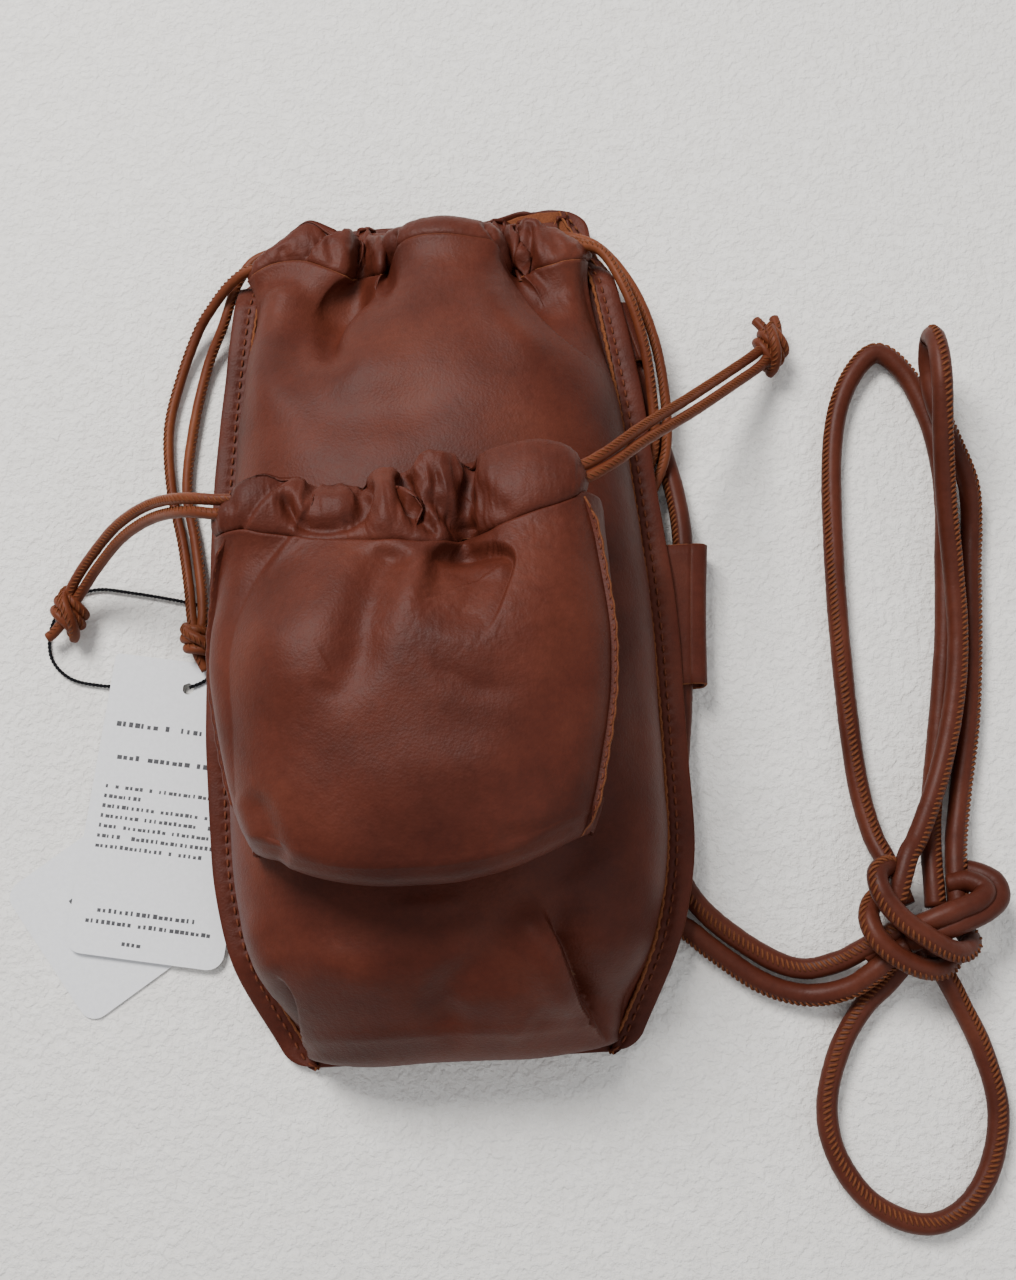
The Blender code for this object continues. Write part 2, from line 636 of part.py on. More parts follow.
def add_drawstrings(frame):
    """Each drawstring's two strands and its knot hang from the empty on its sliding axis."""
    main_left = empty("main_left_slide_axis", Vector((-50, 113, 19)) * MM, frame)
    pocket_left = empty("pocket_left_slide_axis", Vector((-55, 20, 70)) * MM, frame)
    pocket_right = empty("pocket_right_slide_axis", Vector((42, 23, 70)) * MM, frame)
    strands = (("main_cord_left_front", MAIN_LEFT_FRONT, main_left),
               ("main_cord_left_back", MAIN_LEFT_BACK, main_left),
               ("main_cord_right_front", MAIN_RIGHT_FRONT, frame),
               ("main_cord_right_back", MAIN_RIGHT_BACK, frame),
               ("pocket_cord_left_front", POCKET_LEFT_FRONT, pocket_left),
               ("pocket_cord_left_back", POCKET_LEFT_BACK, pocket_left),
               ("pocket_cord_right_front", POCKET_RIGHT_FRONT, pocket_right),
               ("pocket_cord_right_back", POCKET_RIGHT_BACK, pocket_right))
    for name, route, parent in strands:
        add_cord(name, scaled(route), DRAWSTRING_DIAMETER, parent, CORD_COLOUR)
    knots = (("main_knot_left", (-75.4, -2.8, 7.4), (6, 6.6, 4.6), main_left),
             ("main_knot_right", (56, 22.4, 6.4), (6.2, 6.6, 4.6), frame),
             ("pocket_knot_left", (-114.6, 8.6, 7.2), (6.6, 6.6, 5.4), pocket_left),
             ("pocket_knot_right", (107.6, 81.4, 7.4), (6.6, 8, 5.6), pocket_right))
    for name, centre, radii, parent in knots:
        add_knot(name, centre, radii, parent, CORD_COLOUR, 3)
    add_cord("tag_string", scaled(TAG_STRING), STRING_DIAMETER, pocket_left, (0.02, 0.02, 0.025), 5)


# ---- the hang tags -----------------------------------------------------------------------
def tag_outline():
    """A card with cut upper corners and round lower corners, its hole's centre at the origin."""
    top = TAG_HOLE_FROM_TOP
    bottom = TAG_HOLE_FROM_TOP - TAG_LENGTH
    side = TAG_WIDTH / 2
    outline = [(side, top - TAG_CORNER), (side - TAG_CORNER, top), (TAG_CORNER - side, top),
               (-side, top - TAG_CORNER)]
    for corner, start in ((-1, math.pi), (1, 1.5 * math.pi)):
        for k in range(5):
            angle = start + 0.5 * math.pi * k / 4
            x = corner * (side - TAG_CORNER) + TAG_CORNER * math.cos(angle)
            y = bottom + TAG_CORNER + TAG_CORNER * math.sin(angle)
            outline.append((x, y))
    return outline


def add_tag(name, hole, turn, parent):
    """A card with a round hole: one ring of faces from the hole out to the card's edge."""
    outline = tag_outline()
    spread = []
    per_edge = 2
    for (ax, ay), (bx, by) in zip(outline, outline[1:] + outline[:1]):
        for k in range(per_edge):
            spread.append((ax + (bx - ax) * k / per_edge, ay + (by - ay) * k / per_edge))
    points = []
    for z in (0, TAG_THICKNESS):
        for x, y in spread:
            points.append(Vector((x, y, z)))
        for x, y in spread:
            reach = math.hypot(x, y)
            points.append(Vector((x / reach * TAG_HOLE_RADIUS, y / reach * TAG_HOLE_RADIUS, z)))
    count = len(spread)
    top = 2 * count
    faces = []
    for k in range(count):
        n = (k + 1) % count
        faces.append((k, count + k, count + n, n))
        faces.append((top + k, top + n, top + count + n, top + count + k))
        faces.append((k, n, top + n, top + k))
        faces.append((count + n, count + k, top + count + k, top + count + n))
    mesh = bpy.data.meshes.new(name)
    mesh.from_pydata(points, [], faces)
    mesh.materials.append(material(name, (0.75, 0.75, 0.76), 0.6))
    made = bpy.data.objects.new(name, mesh)
    bpy.context.scene.collection.objects.link(made)
    made.parent = parent
    made.location = hole - Vector(parent.location)
    made.rotation_euler = (0, 0, turn)
    return made


def main():
    clear_scene()
    frame = empty("pouch_frame", (ORIGIN_X, 0, 0))
    add_back_panel(frame)
    add_body(frame)
    add_side_binding("left_side_binding", -1, frame)
    add_side_binding("right_side_binding", 1, frame)
    add_pocket(frame)
    add_pocket_seam("pocket_seam_left", -1, frame)
    add_pocket_seam("pocket_seam_right", 1, frame)
    add_casings(frame)
    add_keepers(frame)
    add_strap(frame)
    add_drawstrings(frame)
    tag_parent = bpy.data.objects["pocket_left_slide_axis"]
    add_tag("hang_tag_upper", UPPER_TAG_HOLE, UPPER_TAG_TURN, tag_parent)
    add_tag("hang_tag_lower", LOWER_TAG_HOLE, LOWER_TAG_TURN, tag_parent)


main()
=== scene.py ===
"""The looks of the drawstring leather pouch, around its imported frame.

Lengths are in millimetres in the pouch's own frame: x = 0 is its centre line, +Y points to its
mouth, +Z to its front, and z = 0 is the surface that it lies on. place() turns them into metres
in the row frame.
"""
import math

import bpy
import numpy as np
from mathutils import Matrix, Vector


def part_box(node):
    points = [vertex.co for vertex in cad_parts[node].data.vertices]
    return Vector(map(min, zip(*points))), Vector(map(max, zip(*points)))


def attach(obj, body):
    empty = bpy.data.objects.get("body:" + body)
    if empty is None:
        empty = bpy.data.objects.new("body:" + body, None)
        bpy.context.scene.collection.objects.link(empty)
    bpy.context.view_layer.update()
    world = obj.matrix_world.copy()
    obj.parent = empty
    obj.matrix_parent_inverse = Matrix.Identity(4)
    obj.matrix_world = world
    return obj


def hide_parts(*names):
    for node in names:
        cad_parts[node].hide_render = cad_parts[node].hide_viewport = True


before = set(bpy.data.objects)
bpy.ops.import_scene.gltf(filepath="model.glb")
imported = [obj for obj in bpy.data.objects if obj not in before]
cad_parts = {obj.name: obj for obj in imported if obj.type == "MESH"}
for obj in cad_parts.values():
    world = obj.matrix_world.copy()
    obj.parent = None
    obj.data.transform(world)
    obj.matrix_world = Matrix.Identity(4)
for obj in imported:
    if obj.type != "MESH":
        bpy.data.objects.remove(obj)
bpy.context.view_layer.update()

MM = 0.001
POUCH = "pouch"
MAIN_PULL = "main_drawstring"
POCKET_PULL_LEFT = "pocket_drawstring_left"
POCKET_PULL_RIGHT = "pocket_drawstring_right"

back_low, back_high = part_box("back_panel")
CENTRE = np.array([(back_low[0] + back_high[0]) / 2, 0, 0])

# ---- driving sizes -----------------------------------------------------------------------
# the back panel lies flat at BACK_LIFT, and comes down to the floor from BACK_FLAT to BACK_DOWN
BACK_LIFT = 11.8
BACK_FLAT = 98
BACK_DOWN = 126
BACK_THICKNESS = 1.6
BACK_END = -130.9
CORNER_SIZE = 5
BINDING_WIDTH = 7.5
BODY_ROUNDNESS = 2.8
STRAP_RADIUS = 3.1
STRAP_REST = 3.6
STRAP_IN_KEEPER = 7.2
DRAWSTRING_RADIUS = 1.6
STRING_RADIUS = 0.5
CORD_SIDES = 20
CORD_PITCH = 1.6
KNOT_SPACING = 0.8
CASING_ROWS = 15
CASING_THICKNESS = 0.4
FRONT_THICKNESS = 0.7
POCKET_THICKNESS = 0.9
SEWN_EDGE_THICKNESS = 1.3
KEEPER_HALF_HEIGHT = 4.48
STITCH_PITCH = 3.5
TAG_THICKNESS = 0.35
TAG_HOLE_RADIUS = 1.8

UP = np.array([0, 0, 1.0])
THREAD_FACING = np.array([0.13, 0.21, 0.97])

OUTLINE = ((-131.5, 49), (-127, 52.5), (-102, 64), (-77, 70), (-50, 71), (-8, 70.5),
           (30, 68.2), (69, 64.5), (109, 58.5), (131.5, 50))
BODY_DEPTH = ((-122, 35), (-108, 41), (-77, 45), (-30, 46), (10, 45), (50, 41), (80, 36), (104, 27))
BODY_LOWER_END = ((-129, 0.1), (-130.6, 6), (-130.9, 14), (-129, 24), (-122, 35))
MOUTH_Y = 106
BODY_COLUMNS = 421
BODY_ROWS = 230
SEAM_PASSES = 500

# the gathered seam under the main casing, and the casing's top edge above it, point for point
MAIN_SEAM = ((-55.5, 109, 16.5), (-52.5, 109.5, 20.5), (-46, 111.5, 22.5), (-37, 111, 24.5),
    (-29.5, 107.5, 26), (-24, 105, 25), (-22, 105.5, 20), (-20.6, 107.6, 16), (-18.6, 108, 16),
    (-16.5, 106.5, 20), (-14.5, 104.6, 24.5), (-12.5, 104.2, 26), (-11, 106.5, 21.5), (-9.8, 107.5, 24),
    (-8, 109.5, 29), (-5.5, 111, 33), (0.5, 111.5, 36), (8.5, 111, 37), (16, 110, 36), (22.5, 109, 34),
    (24.6, 106.4, 31), (26, 103.8, 26.5), (27, 103.6, 22.5), (28, 103.8, 20), (29.2, 102.8, 20.5),
    (30.2, 102, 22.5), (31.2, 101.8, 24), (32.4, 102.8, 23), (34, 104, 22.5), (36, 104, 24),
    (40, 104, 26), (44, 105, 26), (48, 106, 24), (50, 108, 20), (51.5, 109, 15))
MAIN_TOP = ((-51.5, 117.5, 14.5), (-49, 119, 17.5), (-44, 122, 20), (-35.4, 127, 21.5), (-26, 122.8, 22),
    (-22.5, 122.8, 21.5), (-21.3, 124, 16), (-20, 126, 10), (-18, 125.8, 10), (-16.5, 123, 15),
    (-14.5, 120.5, 20), (-12.8, 119.6, 22), (-11.6, 121.8, 17), (-10.2, 121.3, 21), (-8, 120, 25),
    (-5, 119.5, 27), (1, 120.5, 29), (8.5, 120.5, 30), (17, 119, 29), (21, 118.5, 27), (22.5, 120, 22),
    (23.6, 122.5, 15), (24.6, 124.5, 10), (25.6, 125.5, 9), (26.6, 123.8, 14), (27.8, 121, 20),
    (29.2, 120.2, 17.5), (30.5, 122.2, 18), (32, 122.5, 21), (35, 122, 22), (39, 120.5, 21),
    (43, 118.5, 20), (47, 116, 18), (49, 115.5, 14), (50.5, 115, 10))

# the same two lines of the pocket
POCKET_SEAM = ((-57, 12.6, 67), (-53.8, 12.2, 72), (-47.9, 12.2, 75), (-42.8, 10.9, 75.5),
    (-36.5, 10, 75), (-34, 9.5, 76), (-31.5, 9, 76), (-28, 8.5, 76.5), (-24.5, 8, 77), (-20, 7.5, 77.5),
    (-15.5, 7, 78), (-11.5, 6.5, 79), (-7.5, 6.5, 79), (-4.5, 6, 79), (-1, 5.5, 79), (2.5, 5.5, 78.5),
    (5.5, 5.5, 77), (9, 6, 73), (11.5, 7.6, 70), (14, 7.5, 73), (17.5, 8, 76), (20.5, 9, 78),
    (25.5, 10.5, 79), (30.5, 12, 79), (36.5, 13.7, 78), (40.4, 15.6, 76), (42.3, 17.1, 71))
POCKET_TOP = ((-55.8, 21.8, 66), (-52.4, 24.2, 71.5), (-48.4, 27, 74), (-42.4, 28.9, 74),
    (-37.4, 27.9, 73), (-32.5, 28.3, 71.5), (-30.2, 26.6, 68), (-28.7, 26.2, 67), (-25.2, 26.7, 67),
    (-22.4, 27, 67), (-17.9, 25.7, 67), (-16.1, 26.3, 69), (-12.5, 29, 71), (-7.5, 29, 71),
    (-6.5, 28.5, 67), (-3.5, 29, 69), (1, 31, 72), (5, 31, 73), (8, 30.5, 70), (11.5, 30.5, 67),
    (14.5, 31, 70), (17.5, 31.5, 73), (25, 33, 74), (32, 33.5, 74), (38.9, 31.8, 73), (41.8, 29.4, 71),
    (42.6, 26.7, 67))
# the pocket's rim runs on past its casing at the right
POCKET_RIM = POCKET_SEAM[:-1] + ((42.6, 17.6, 74), (45, 17.8, 71), (47.4, 17.6, 66), (48.6, 16.4, 58))
POCKET_X = -5.5

RNG = np.random.default_rng(7)


# ---- numbers and curves ------------------------------------------------------------------
def place(points):
    """Points in the pouch's frame in millimetres, as metres in the row frame."""
    return np.asarray(points, float) * MM + CENTRE


def smoothstep(t):
    t = np.clip(t, 0, 1)
    return t * t * (3 - 2 * t)


def stack(*values):
    """Points, made of one array or number for each coordinate."""
    return np.stack(np.broadcast_arrays(*values), axis=-1)


def catmull_rom(a, b, c, d, t):
    return 0.5 * (2 * b + (c - a) * t + (2 * a - 5 * b + 4 * c - d) * t * t
                  + (3 * b - a - 3 * c + d) * t * t * t)


def smooth_curve(points, steps=24):
    """A smooth curve through the points."""
    p = np.asarray(points, float)
    p = np.vstack([2 * p[0] - p[1], p, 2 * p[-1] - p[-2]])
    t = np.linspace(0, 1, steps, endpoint=False)[:, None]
    parts = [catmull_rom(*p[i:i + 4], t) for i in range(len(p) - 3)]
    return np.vstack(parts + [p[-2][None]])


def lengths_along(curve):
    steps = np.linalg.norm(np.diff(curve, axis=0), axis=1)
    return np.concatenate([[0], np.cumsum(steps)])


def read_rows(rows, stations, at):
    """The rows, which are at these stations, read at others."""
    return np.stack([np.interp(at, stations, column) for column in rows.T], axis=-1)


def read_at(curve, shares):
    """The curve's points at these shares of its length."""
    s = lengths_along(curve)
    return read_rows(curve, s / s[-1], shares)


def even_curve(points, spacing):
    curve = smooth_curve(points)
    count = max(3, int(round(lengths_along(curve)[-1] / spacing)) + 1)
    return read_at(curve, np.linspace(0, 1, count))


def table(stations, y):
    """Smoothly read a table of (y, value)."""
    curve = smooth_curve(stations, 12)
    return np.interp(y, curve[:, 0], curve[:, 1])


def unit(v):
    return v / np.maximum(np.linalg.norm(v, axis=-1, keepdims=True), 1e-9)


def frame_along(path, facing):
    """Two directions across the path at each point, the first towards facing."""
    tangent = unit(np.gradient(path, axis=0))
    first = unit(facing - (facing * tangent).sum(1, keepdims=True) * tangent)
    return first, np.cross(tangent, first)


def smooth_along(values, passes):
    for _ in range(passes):
        padded = np.concatenate([values[:1], values, values[-1:]])
        values = (padded[:-2] + 2 * padded[1:-1] + padded[2:]) / 4
    return values


def wave_noise(x, y, scale, seed, octaves=3):
    """Smooth noise from -1 to 1 in the plane, made of turned sine waves."""
    rng = np.random.default_rng(seed)
    total = np.zeros(np.broadcast(x, y).shape)
    for k in range(octaves):
        for _ in range(4):
            turn = rng.uniform(0, math.tau)
            phase = rng.uniform(0, math.tau)
            pitch = scale / (1.9 ** k) * rng.uniform(0.8, 1.25)
            along = (x * math.cos(turn) + y * math.sin(turn)) * math.tau / pitch
            bend = 1.3 * np.sin((x * math.sin(turn) - y * math.cos(turn)) * 2.4 / pitch + phase)
            total += np.sin(along + phase + bend) * 0.25 / (1.8 ** k)
    return total


# ---- the pouch's surfaces ----------------------------------------------------------------
def back_top(y):
    """The upper face of the back panel."""
    slope = (np.abs(y) - BACK_FLAT) / (BACK_DOWN - BACK_FLAT)
    return BACK_LIFT * (1 - smoothstep(slope)) + BACK_THICKNESS


def half_width(y):
    return table(OUTLINE, y)


def body_half_width(y):
    return half_width(np.maximum(y, -127)) - BINDING_WIDTH - 0.3


def body_base(y):
    return back_top(y) + 0.3


def front_height(x, y):
    share = np.clip(np.abs(x) / body_half_width(y), 0, 1)
    rise = (1 - share ** BODY_ROUNDNESS) ** (1 / BODY_ROUNDNESS)
    return body_base(y) + table(BODY_DEPTH, y) * rise


def superellipse(angle, power):
    c = np.cos(angle)
    s = np.sin(angle)
    return np.sign(c) * np.abs(c) ** (2 / power), np.sign(s) * np.abs(s) ** (2 / power)


def arch_shares(power, aspect, shares):
    """Points of a unit arch, from its left foot to its right, at even shares of its length."""
    x, z = superellipse(np.linspace(math.pi, 0, 400), power)
    even = read_at(stack(x, z * aspect), shares)
    return even[:, 0], even[:, 1] / aspect


def fold(grid, route, depth, width, fade=(0.3, 0.3), side=0):
    """How far a fold along a route (x, y) moves the leather, down if depth < 0.

    Side 1 moves only what is on the left of the route, and -1 on its right: a sharp crease.
    """
    route = smooth_curve(route, 8)
    s = lengths_along(route)
    s = s / s[-1]
    best = np.full(grid.shape[:2], 1e9)
    along = np.zeros(grid.shape[:2])
    left = np.zeros(grid.shape[:2])
    for i in range(len(route) - 1):
        a = route[i]
        d = route[i + 1] - a
        x = grid[..., 0] - a[0]
        y = grid[..., 1] - a[1]
        size = math.hypot(*d) + 1e-9
        t = np.clip((x * d[0] + y * d[1]) / size ** 2, 0, 1)
        gap = np.hypot(x - d[0] * t, y - d[1] * t)
        nearer = gap < best
        best = np.where(nearer, gap, best)
        along = np.where(nearer, s[i] + (s[i + 1] - s[i]) * t, along)
        left = np.where(nearer, (y * d[0] - x * d[1]) / size, left)
    shape = np.exp(-(best / width) ** 2)
    if side:
        shape = np.exp(-best / width) * smoothstep(side * left / 1.2 + 0.35)
    if fade[0] > 0:
        shape = shape * smoothstep(along / fade[0])
    if fade[1] > 0:
        shape = shape * smoothstep((1 - along) / fade[1])
    return depth * shape


def folded(grid, folds):
    return sum(fold(grid, *item) for item in folds)


def noise_on(grid, scale, seed, octaves, stretch=(1, 1)):
    return wave_noise(grid[..., 0] * stretch[0], grid[..., 1] * stretch[1], scale, seed, octaves)


def grid_normals(grid):
    return unit(np.cross(np.gradient(grid, axis=1), np.gradient(grid, axis=0)))


def moved(grid, shift):
    return grid + grid_normals(grid) * shift[..., None]


def settled(grid, shift, shares, side, rows):
    """The grid moved along its normals, less and less towards its sides and its top rows."""
    edge = smoothstep(np.minimum(shares, 1 - shares) / side)
    return moved(grid, shift * smoothstep(np.arange(len(grid))[::-1] / rows)[:, None] * edge)


def eased(x, y, z, line, weight):
    """A row of points, drawn towards a seam's line by this weight."""
    return stack(x * (1 - weight) + line[:, 0] * weight, y, z * (1 - weight) + line[:, 2] * weight)


# ---- materials ---------------------------------------------------------------------------
LEATHER_SPECULAR = 0.14
FIBRE_SPECULAR = 0.15
PLASTER_SPECULAR = 0.2


def node(tree, kind, sources=(), **inputs):
    """A node with these values on its inputs, and other nodes' outputs linked to it."""
    made = tree.nodes.new(kind)
    for name, value in inputs.items():
        made.inputs[name.replace("_", " ")].default_value = value
    for name, source in sources:
        tree.links.new(source, made.inputs[name])
    return made


def new_material(name, colour, roughness, specular):
    """A material, its tree and shader, and its surface's own coordinates in millimetres."""
    made = bpy.data.materials.new(name)
    made.use_nodes = True
    tree = made.node_tree
    shader = tree.nodes["Principled BSDF"]
    shader.inputs["Base Color"].default_value = (*colour, 1)
    shader.inputs["Roughness"].default_value = roughness
    shader.inputs["Specular IOR Level"].default_value = specular
    own = tree.nodes.new("ShaderNodeTexCoord").outputs["Object"]
    where = node(tree, "ShaderNodeMapping", [("Vector", own)], Scale=(1000, 1000, 1000))
    return made, tree, shader, where.outputs["Vector"]


def noise(tree, where, scale, detail, roughness):
    return node(tree, "ShaderNodeTexNoise", [("Vector", where)], Scale=scale, Detail=detail,
                Roughness=roughness).outputs["Fac"]


def ramp(tree, source, stops):
    made = node(tree, "ShaderNodeValToRGB", [("Fac", source)])
    elements = made.color_ramp.elements
    while len(elements) < len(stops):
        elements.new(0.5)
    for element, (position, colour) in zip(elements, stops):
        element.position = position
        element.color = (*colour, 1)
    return made.outputs["Color"]


def add_bump(tree, shader, height, strength, distance):
    bump = node(tree, "ShaderNodeBump", [("Height", height)], Strength=strength, Distance=distance)
    tree.links.new(bump.outputs["Normal"], shader.inputs["Normal"])


def height_sum(tree, first, share, second):
    """first * share + second."""
    made = tree.nodes.new("ShaderNodeMath")
    made.operation = "MULTIPLY_ADD"
    made.inputs[1].default_value = share
    tree.links.new(first, made.inputs[0])
    tree.links.new(second, made.inputs[2])
    return made.outputs["Value"]


def leather_material(name, dark, mid, light, grain, roughness=(0.42, 0.58)):
    """Soft smooth leather: cloudy colour, fine pebbled grain and short creases."""
    made, tree, shader, where = new_material(name, mid, roughness[0], LEATHER_SPECULAR)
    clouds = noise(tree, where, 0.028, 4, 0.55)
    colour = ramp(tree, clouds, ((0.3, dark), (0.52, mid), (0.75, light)))
    mottle = noise(tree, where, 0.5, 5, 0.65)
    shade = ramp(tree, mottle, ((0.3, (0.78, 0.76, 0.74)), (0.7, (1.08, 1.08, 1.08))))
    mix = tree.nodes.new("ShaderNodeMix")
    mix.data_type = "RGBA"
    mix.blend_type = "MULTIPLY"
    mix.inputs["Factor"].default_value = 0.7
    tree.links.new(colour, mix.inputs["A"])
    tree.links.new(shade, mix.inputs["B"])
    tree.links.new(mix.outputs["Result"], shader.inputs["Base Color"])
    spread = node(tree, "ShaderNodeMapRange", [("Value", mottle)], To_Min=roughness[0],
                  To_Max=roughness[1])
    tree.links.new(spread.outputs["Result"], shader.inputs["Roughness"])
    pebbles = node(tree, "ShaderNodeTexVoronoi", [("Vector", where)], Scale=1.35, Randomness=1)
    creases = noise(tree, where, 0.9, 6, 0.7)
    height = height_sum(tree, pebbles.outputs["Distance"], 0.45, creases)
    add_bump(tree, shader, height, 0.22 * grain, 0.0004)
    return made


def fibre_material(name, dark, light, scale=2.5, roughness=0.85, strength=0.5):
    """A raw cut edge, thread, suede, cloth or card."""
    made, tree, shader, where = new_material(name, light, roughness, FIBRE_SPECULAR)
    fibres = noise(tree, where, scale, 6, 0.7)
    colour = ramp(tree, fibres, ((0.35, dark), (0.65, light)))
    tree.links.new(colour, shader.inputs["Base Color"])
    add_bump(tree, shader, fibres, strength, 0.0003)
    return made


def plaster_material():
    made, tree, shader, where = new_material("plaster", (0.80, 0.78, 0.75), 0.92, PLASTER_SPECULAR)
    lumps = noise(tree, where, 0.16, 8, 0.62)
    colour = ramp(tree, lumps, ((0.3, (0.79, 0.76, 0.72)), (0.7, (0.89, 0.865, 0.825))))
    tree.links.new(colour, shader.inputs["Base Color"])
    pits = ramp(tree, noise(tree, where, 0.42, 4, 0.55), ((0.42, (0, 0, 0)), (0.62, (1, 1, 1))))
    add_bump(tree, shader, height_sum(tree, pits, 0.5, lumps), 0.8, 0.0008)
    return made


BODY_LEATHER = leather_material("body_leather", (0.046, 0.0088, 0.0044), (0.073, 0.0154, 0.0080),
                                (0.100, 0.0240, 0.0128), 1.4)
STRAP_LEATHER = leather_material("strap_leather", (0.046, 0.0100, 0.0052), (0.074, 0.0172, 0.0090),
                                 (0.104, 0.028, 0.0145), 0.7, (0.38, 0.52))
STRING_LEATHER = leather_material("drawstring_leather", (0.085, 0.019, 0.008), (0.125, 0.032, 0.012),
                                  (0.165, 0.048, 0.018), 0.7, (0.4, 0.55))
RAW_EDGE = fibre_material("raw_edge", (0.10, 0.028, 0.011), (0.22, 0.075, 0.028))
SUEDE = fibre_material("suede", (0.10, 0.028, 0.011), (0.17, 0.052, 0.02), 1.8)
SEAM_THREAD = fibre_material("seam_thread", (0.085, 0.024, 0.009), (0.17, 0.053, 0.019), 4, 0.75, 0.3)
DARK_THREAD = fibre_material("dark_thread", (0.06, 0.014, 0.007), (0.17, 0.046, 0.018), 5, 0.6, 0.3)
BLACK_STRING = fibre_material("black_string", (0.003, 0.003, 0.004), (0.010, 0.010, 0.013), 6, 0.8, 0.6)
CARD = fibre_material("tag_card", (0.72, 0.72, 0.735), (0.78, 0.78, 0.795), 0.8, 0.55, 0.06)
LINING = fibre_material("lining", (0.10, 0.04, 0.022), (0.17, 0.075, 0.04), 3, 0.9, 0.3)
PRINT = fibre_material("plain_grey_print", (0.05, 0.05, 0.055), (0.09, 0.09, 0.095), 2, 0.6, 0.0)

# a cord's radius, leather and slot, the spacing of its rings, and its stitches' reach around it
STRAP = (STRAP_RADIUS, STRAP_LEATHER, "strap_leather", 1.3, 0.9)
DRAWSTRING = (DRAWSTRING_RADIUS, STRING_LEATHER, "drawstring_leather", 0.9, 1.25)


# ---- mesh helpers ------------------------------------------------------------------------
def make_piece(name, points, faces, materials, body, replaced=(), slot=None, face_slots=None,
               smooth=True):
    mesh = bpy.data.meshes.new(name)
    mesh.from_pydata(place(points).tolist(), [], faces)
    for item in materials:
        mesh.materials.append(item)
    if face_slots is not None:
        mesh.polygons.foreach_set("material_index", np.asarray(face_slots, np.int32))
    if smooth:
        mesh.shade_smooth()
    mesh.update()
    made = bpy.data.objects.new(name, mesh)
    bpy.context.scene.collection.objects.link(made)
    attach(made, body)
    if replaced:
        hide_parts(*replaced)
    return made


def grid_faces(rows, across, offset=0, wrap=False):
    faces = []
    for r in range(rows - 1):
        a = offset + r * across
        for c in range(across if wrap else across - 1):
            n = (c + 1) % across
            faces.append((a + c, a + n, a + across + n, a + across + c))
    return faces


def thick_grid(name, grid, thickness, materials, replaced=(), slot=None):
    """A sheet of the pouch whose front is the grid, with rounded cut edges."""
    rows, across = grid.shape[:2]
    count = rows * across
    normals = grid_normals(grid).reshape(-1, 3)
    front = grid.reshape(-1, 3)
    back = front - normals * thickness
    sheet = grid_faces(rows, across)
    faces = sheet + [tuple(count + i for i in reversed(face)) for face in sheet]
    number = np.arange(count).reshape(rows, across)
    rim = np.concatenate([number[0], number[1:, -1], number[-1, -2::-1], number[-2:0:-1, 0]])
    along = np.roll(front[rim], -1, axis=0) - np.roll(front[rim], 1, axis=0)
    outward = unit(np.cross(along, normals[rim]))
    middle = (front[rim] + back[rim]) / 2 + outward * thickness * 0.3
    for k, (a, b) in enumerate(zip(rim.tolist(), np.roll(rim, -1).tolist())):
        here = 2 * count + k
        after = 2 * count + (k + 1) % len(rim)
        faces.append((b, a, here, after))
        faces.append((after, here, count + a, count + b))
    slots = [0] * (2 * len(sheet)) + [1] * (2 * len(rim))
    return make_piece(name, np.vstack([front, back, middle]), faces, materials, POUCH, replaced,
                      slot, slots)


def leather_sheet(name, grid, thickness, replaced, edge=RAW_EDGE):
    thick_grid(name, grid, thickness, [BODY_LEATHER, edge], replaced, "body_leather")


def tube_points(path, direction, radii, sides):
    """Rings around the path. The first point of each ring is towards direction."""
    first, second = frame_along(path, direction)
    turn = np.linspace(0, math.tau, sides, endpoint=False)[None, :, None]
    ring = first[:, None] * np.cos(turn) + second[:, None] * np.sin(turn)
    return path[:, None] + ring * radii[..., None]


def tube_faces(count, sides, offset=0):
    """A closed tube's sides and its two ends."""
    last = offset + (count - 1) * sides
    return grid_faces(count, sides, offset, True) + [
        tuple(offset + c for c in reversed(range(sides))), tuple(last + c for c in range(sides))]


def add_threads(name, paths, radius, material, body, sides=5):
    """Many short thread-like tubes as one piece."""
    points = []
    faces = []
    offset = 0
    for path in paths:
        path = np.asarray(path, float)
        radii = np.full((len(path), sides), radius)
        radii[[0, -1]] *= 0.45
        points.append(tube_points(path, THREAD_FACING, radii, sides).reshape(-1, 3))
        faces += tube_faces(len(path), sides, offset)
        offset += len(path) * sides
    return make_piece(name, np.vstack(points), faces, [material], body)


def seam_direction(path, turns):
    """Where a cord's seam faces: up, turned about the cord by degrees at shares of its length."""
    first, second = frame_along(path, UP)
    s = lengths_along(path)
    angle = np.radians(np.interp(s / s[-1], [t for t, _ in turns], [a for _, a in turns]))[:, None]
    return first * np.cos(angle) + second * np.sin(angle)


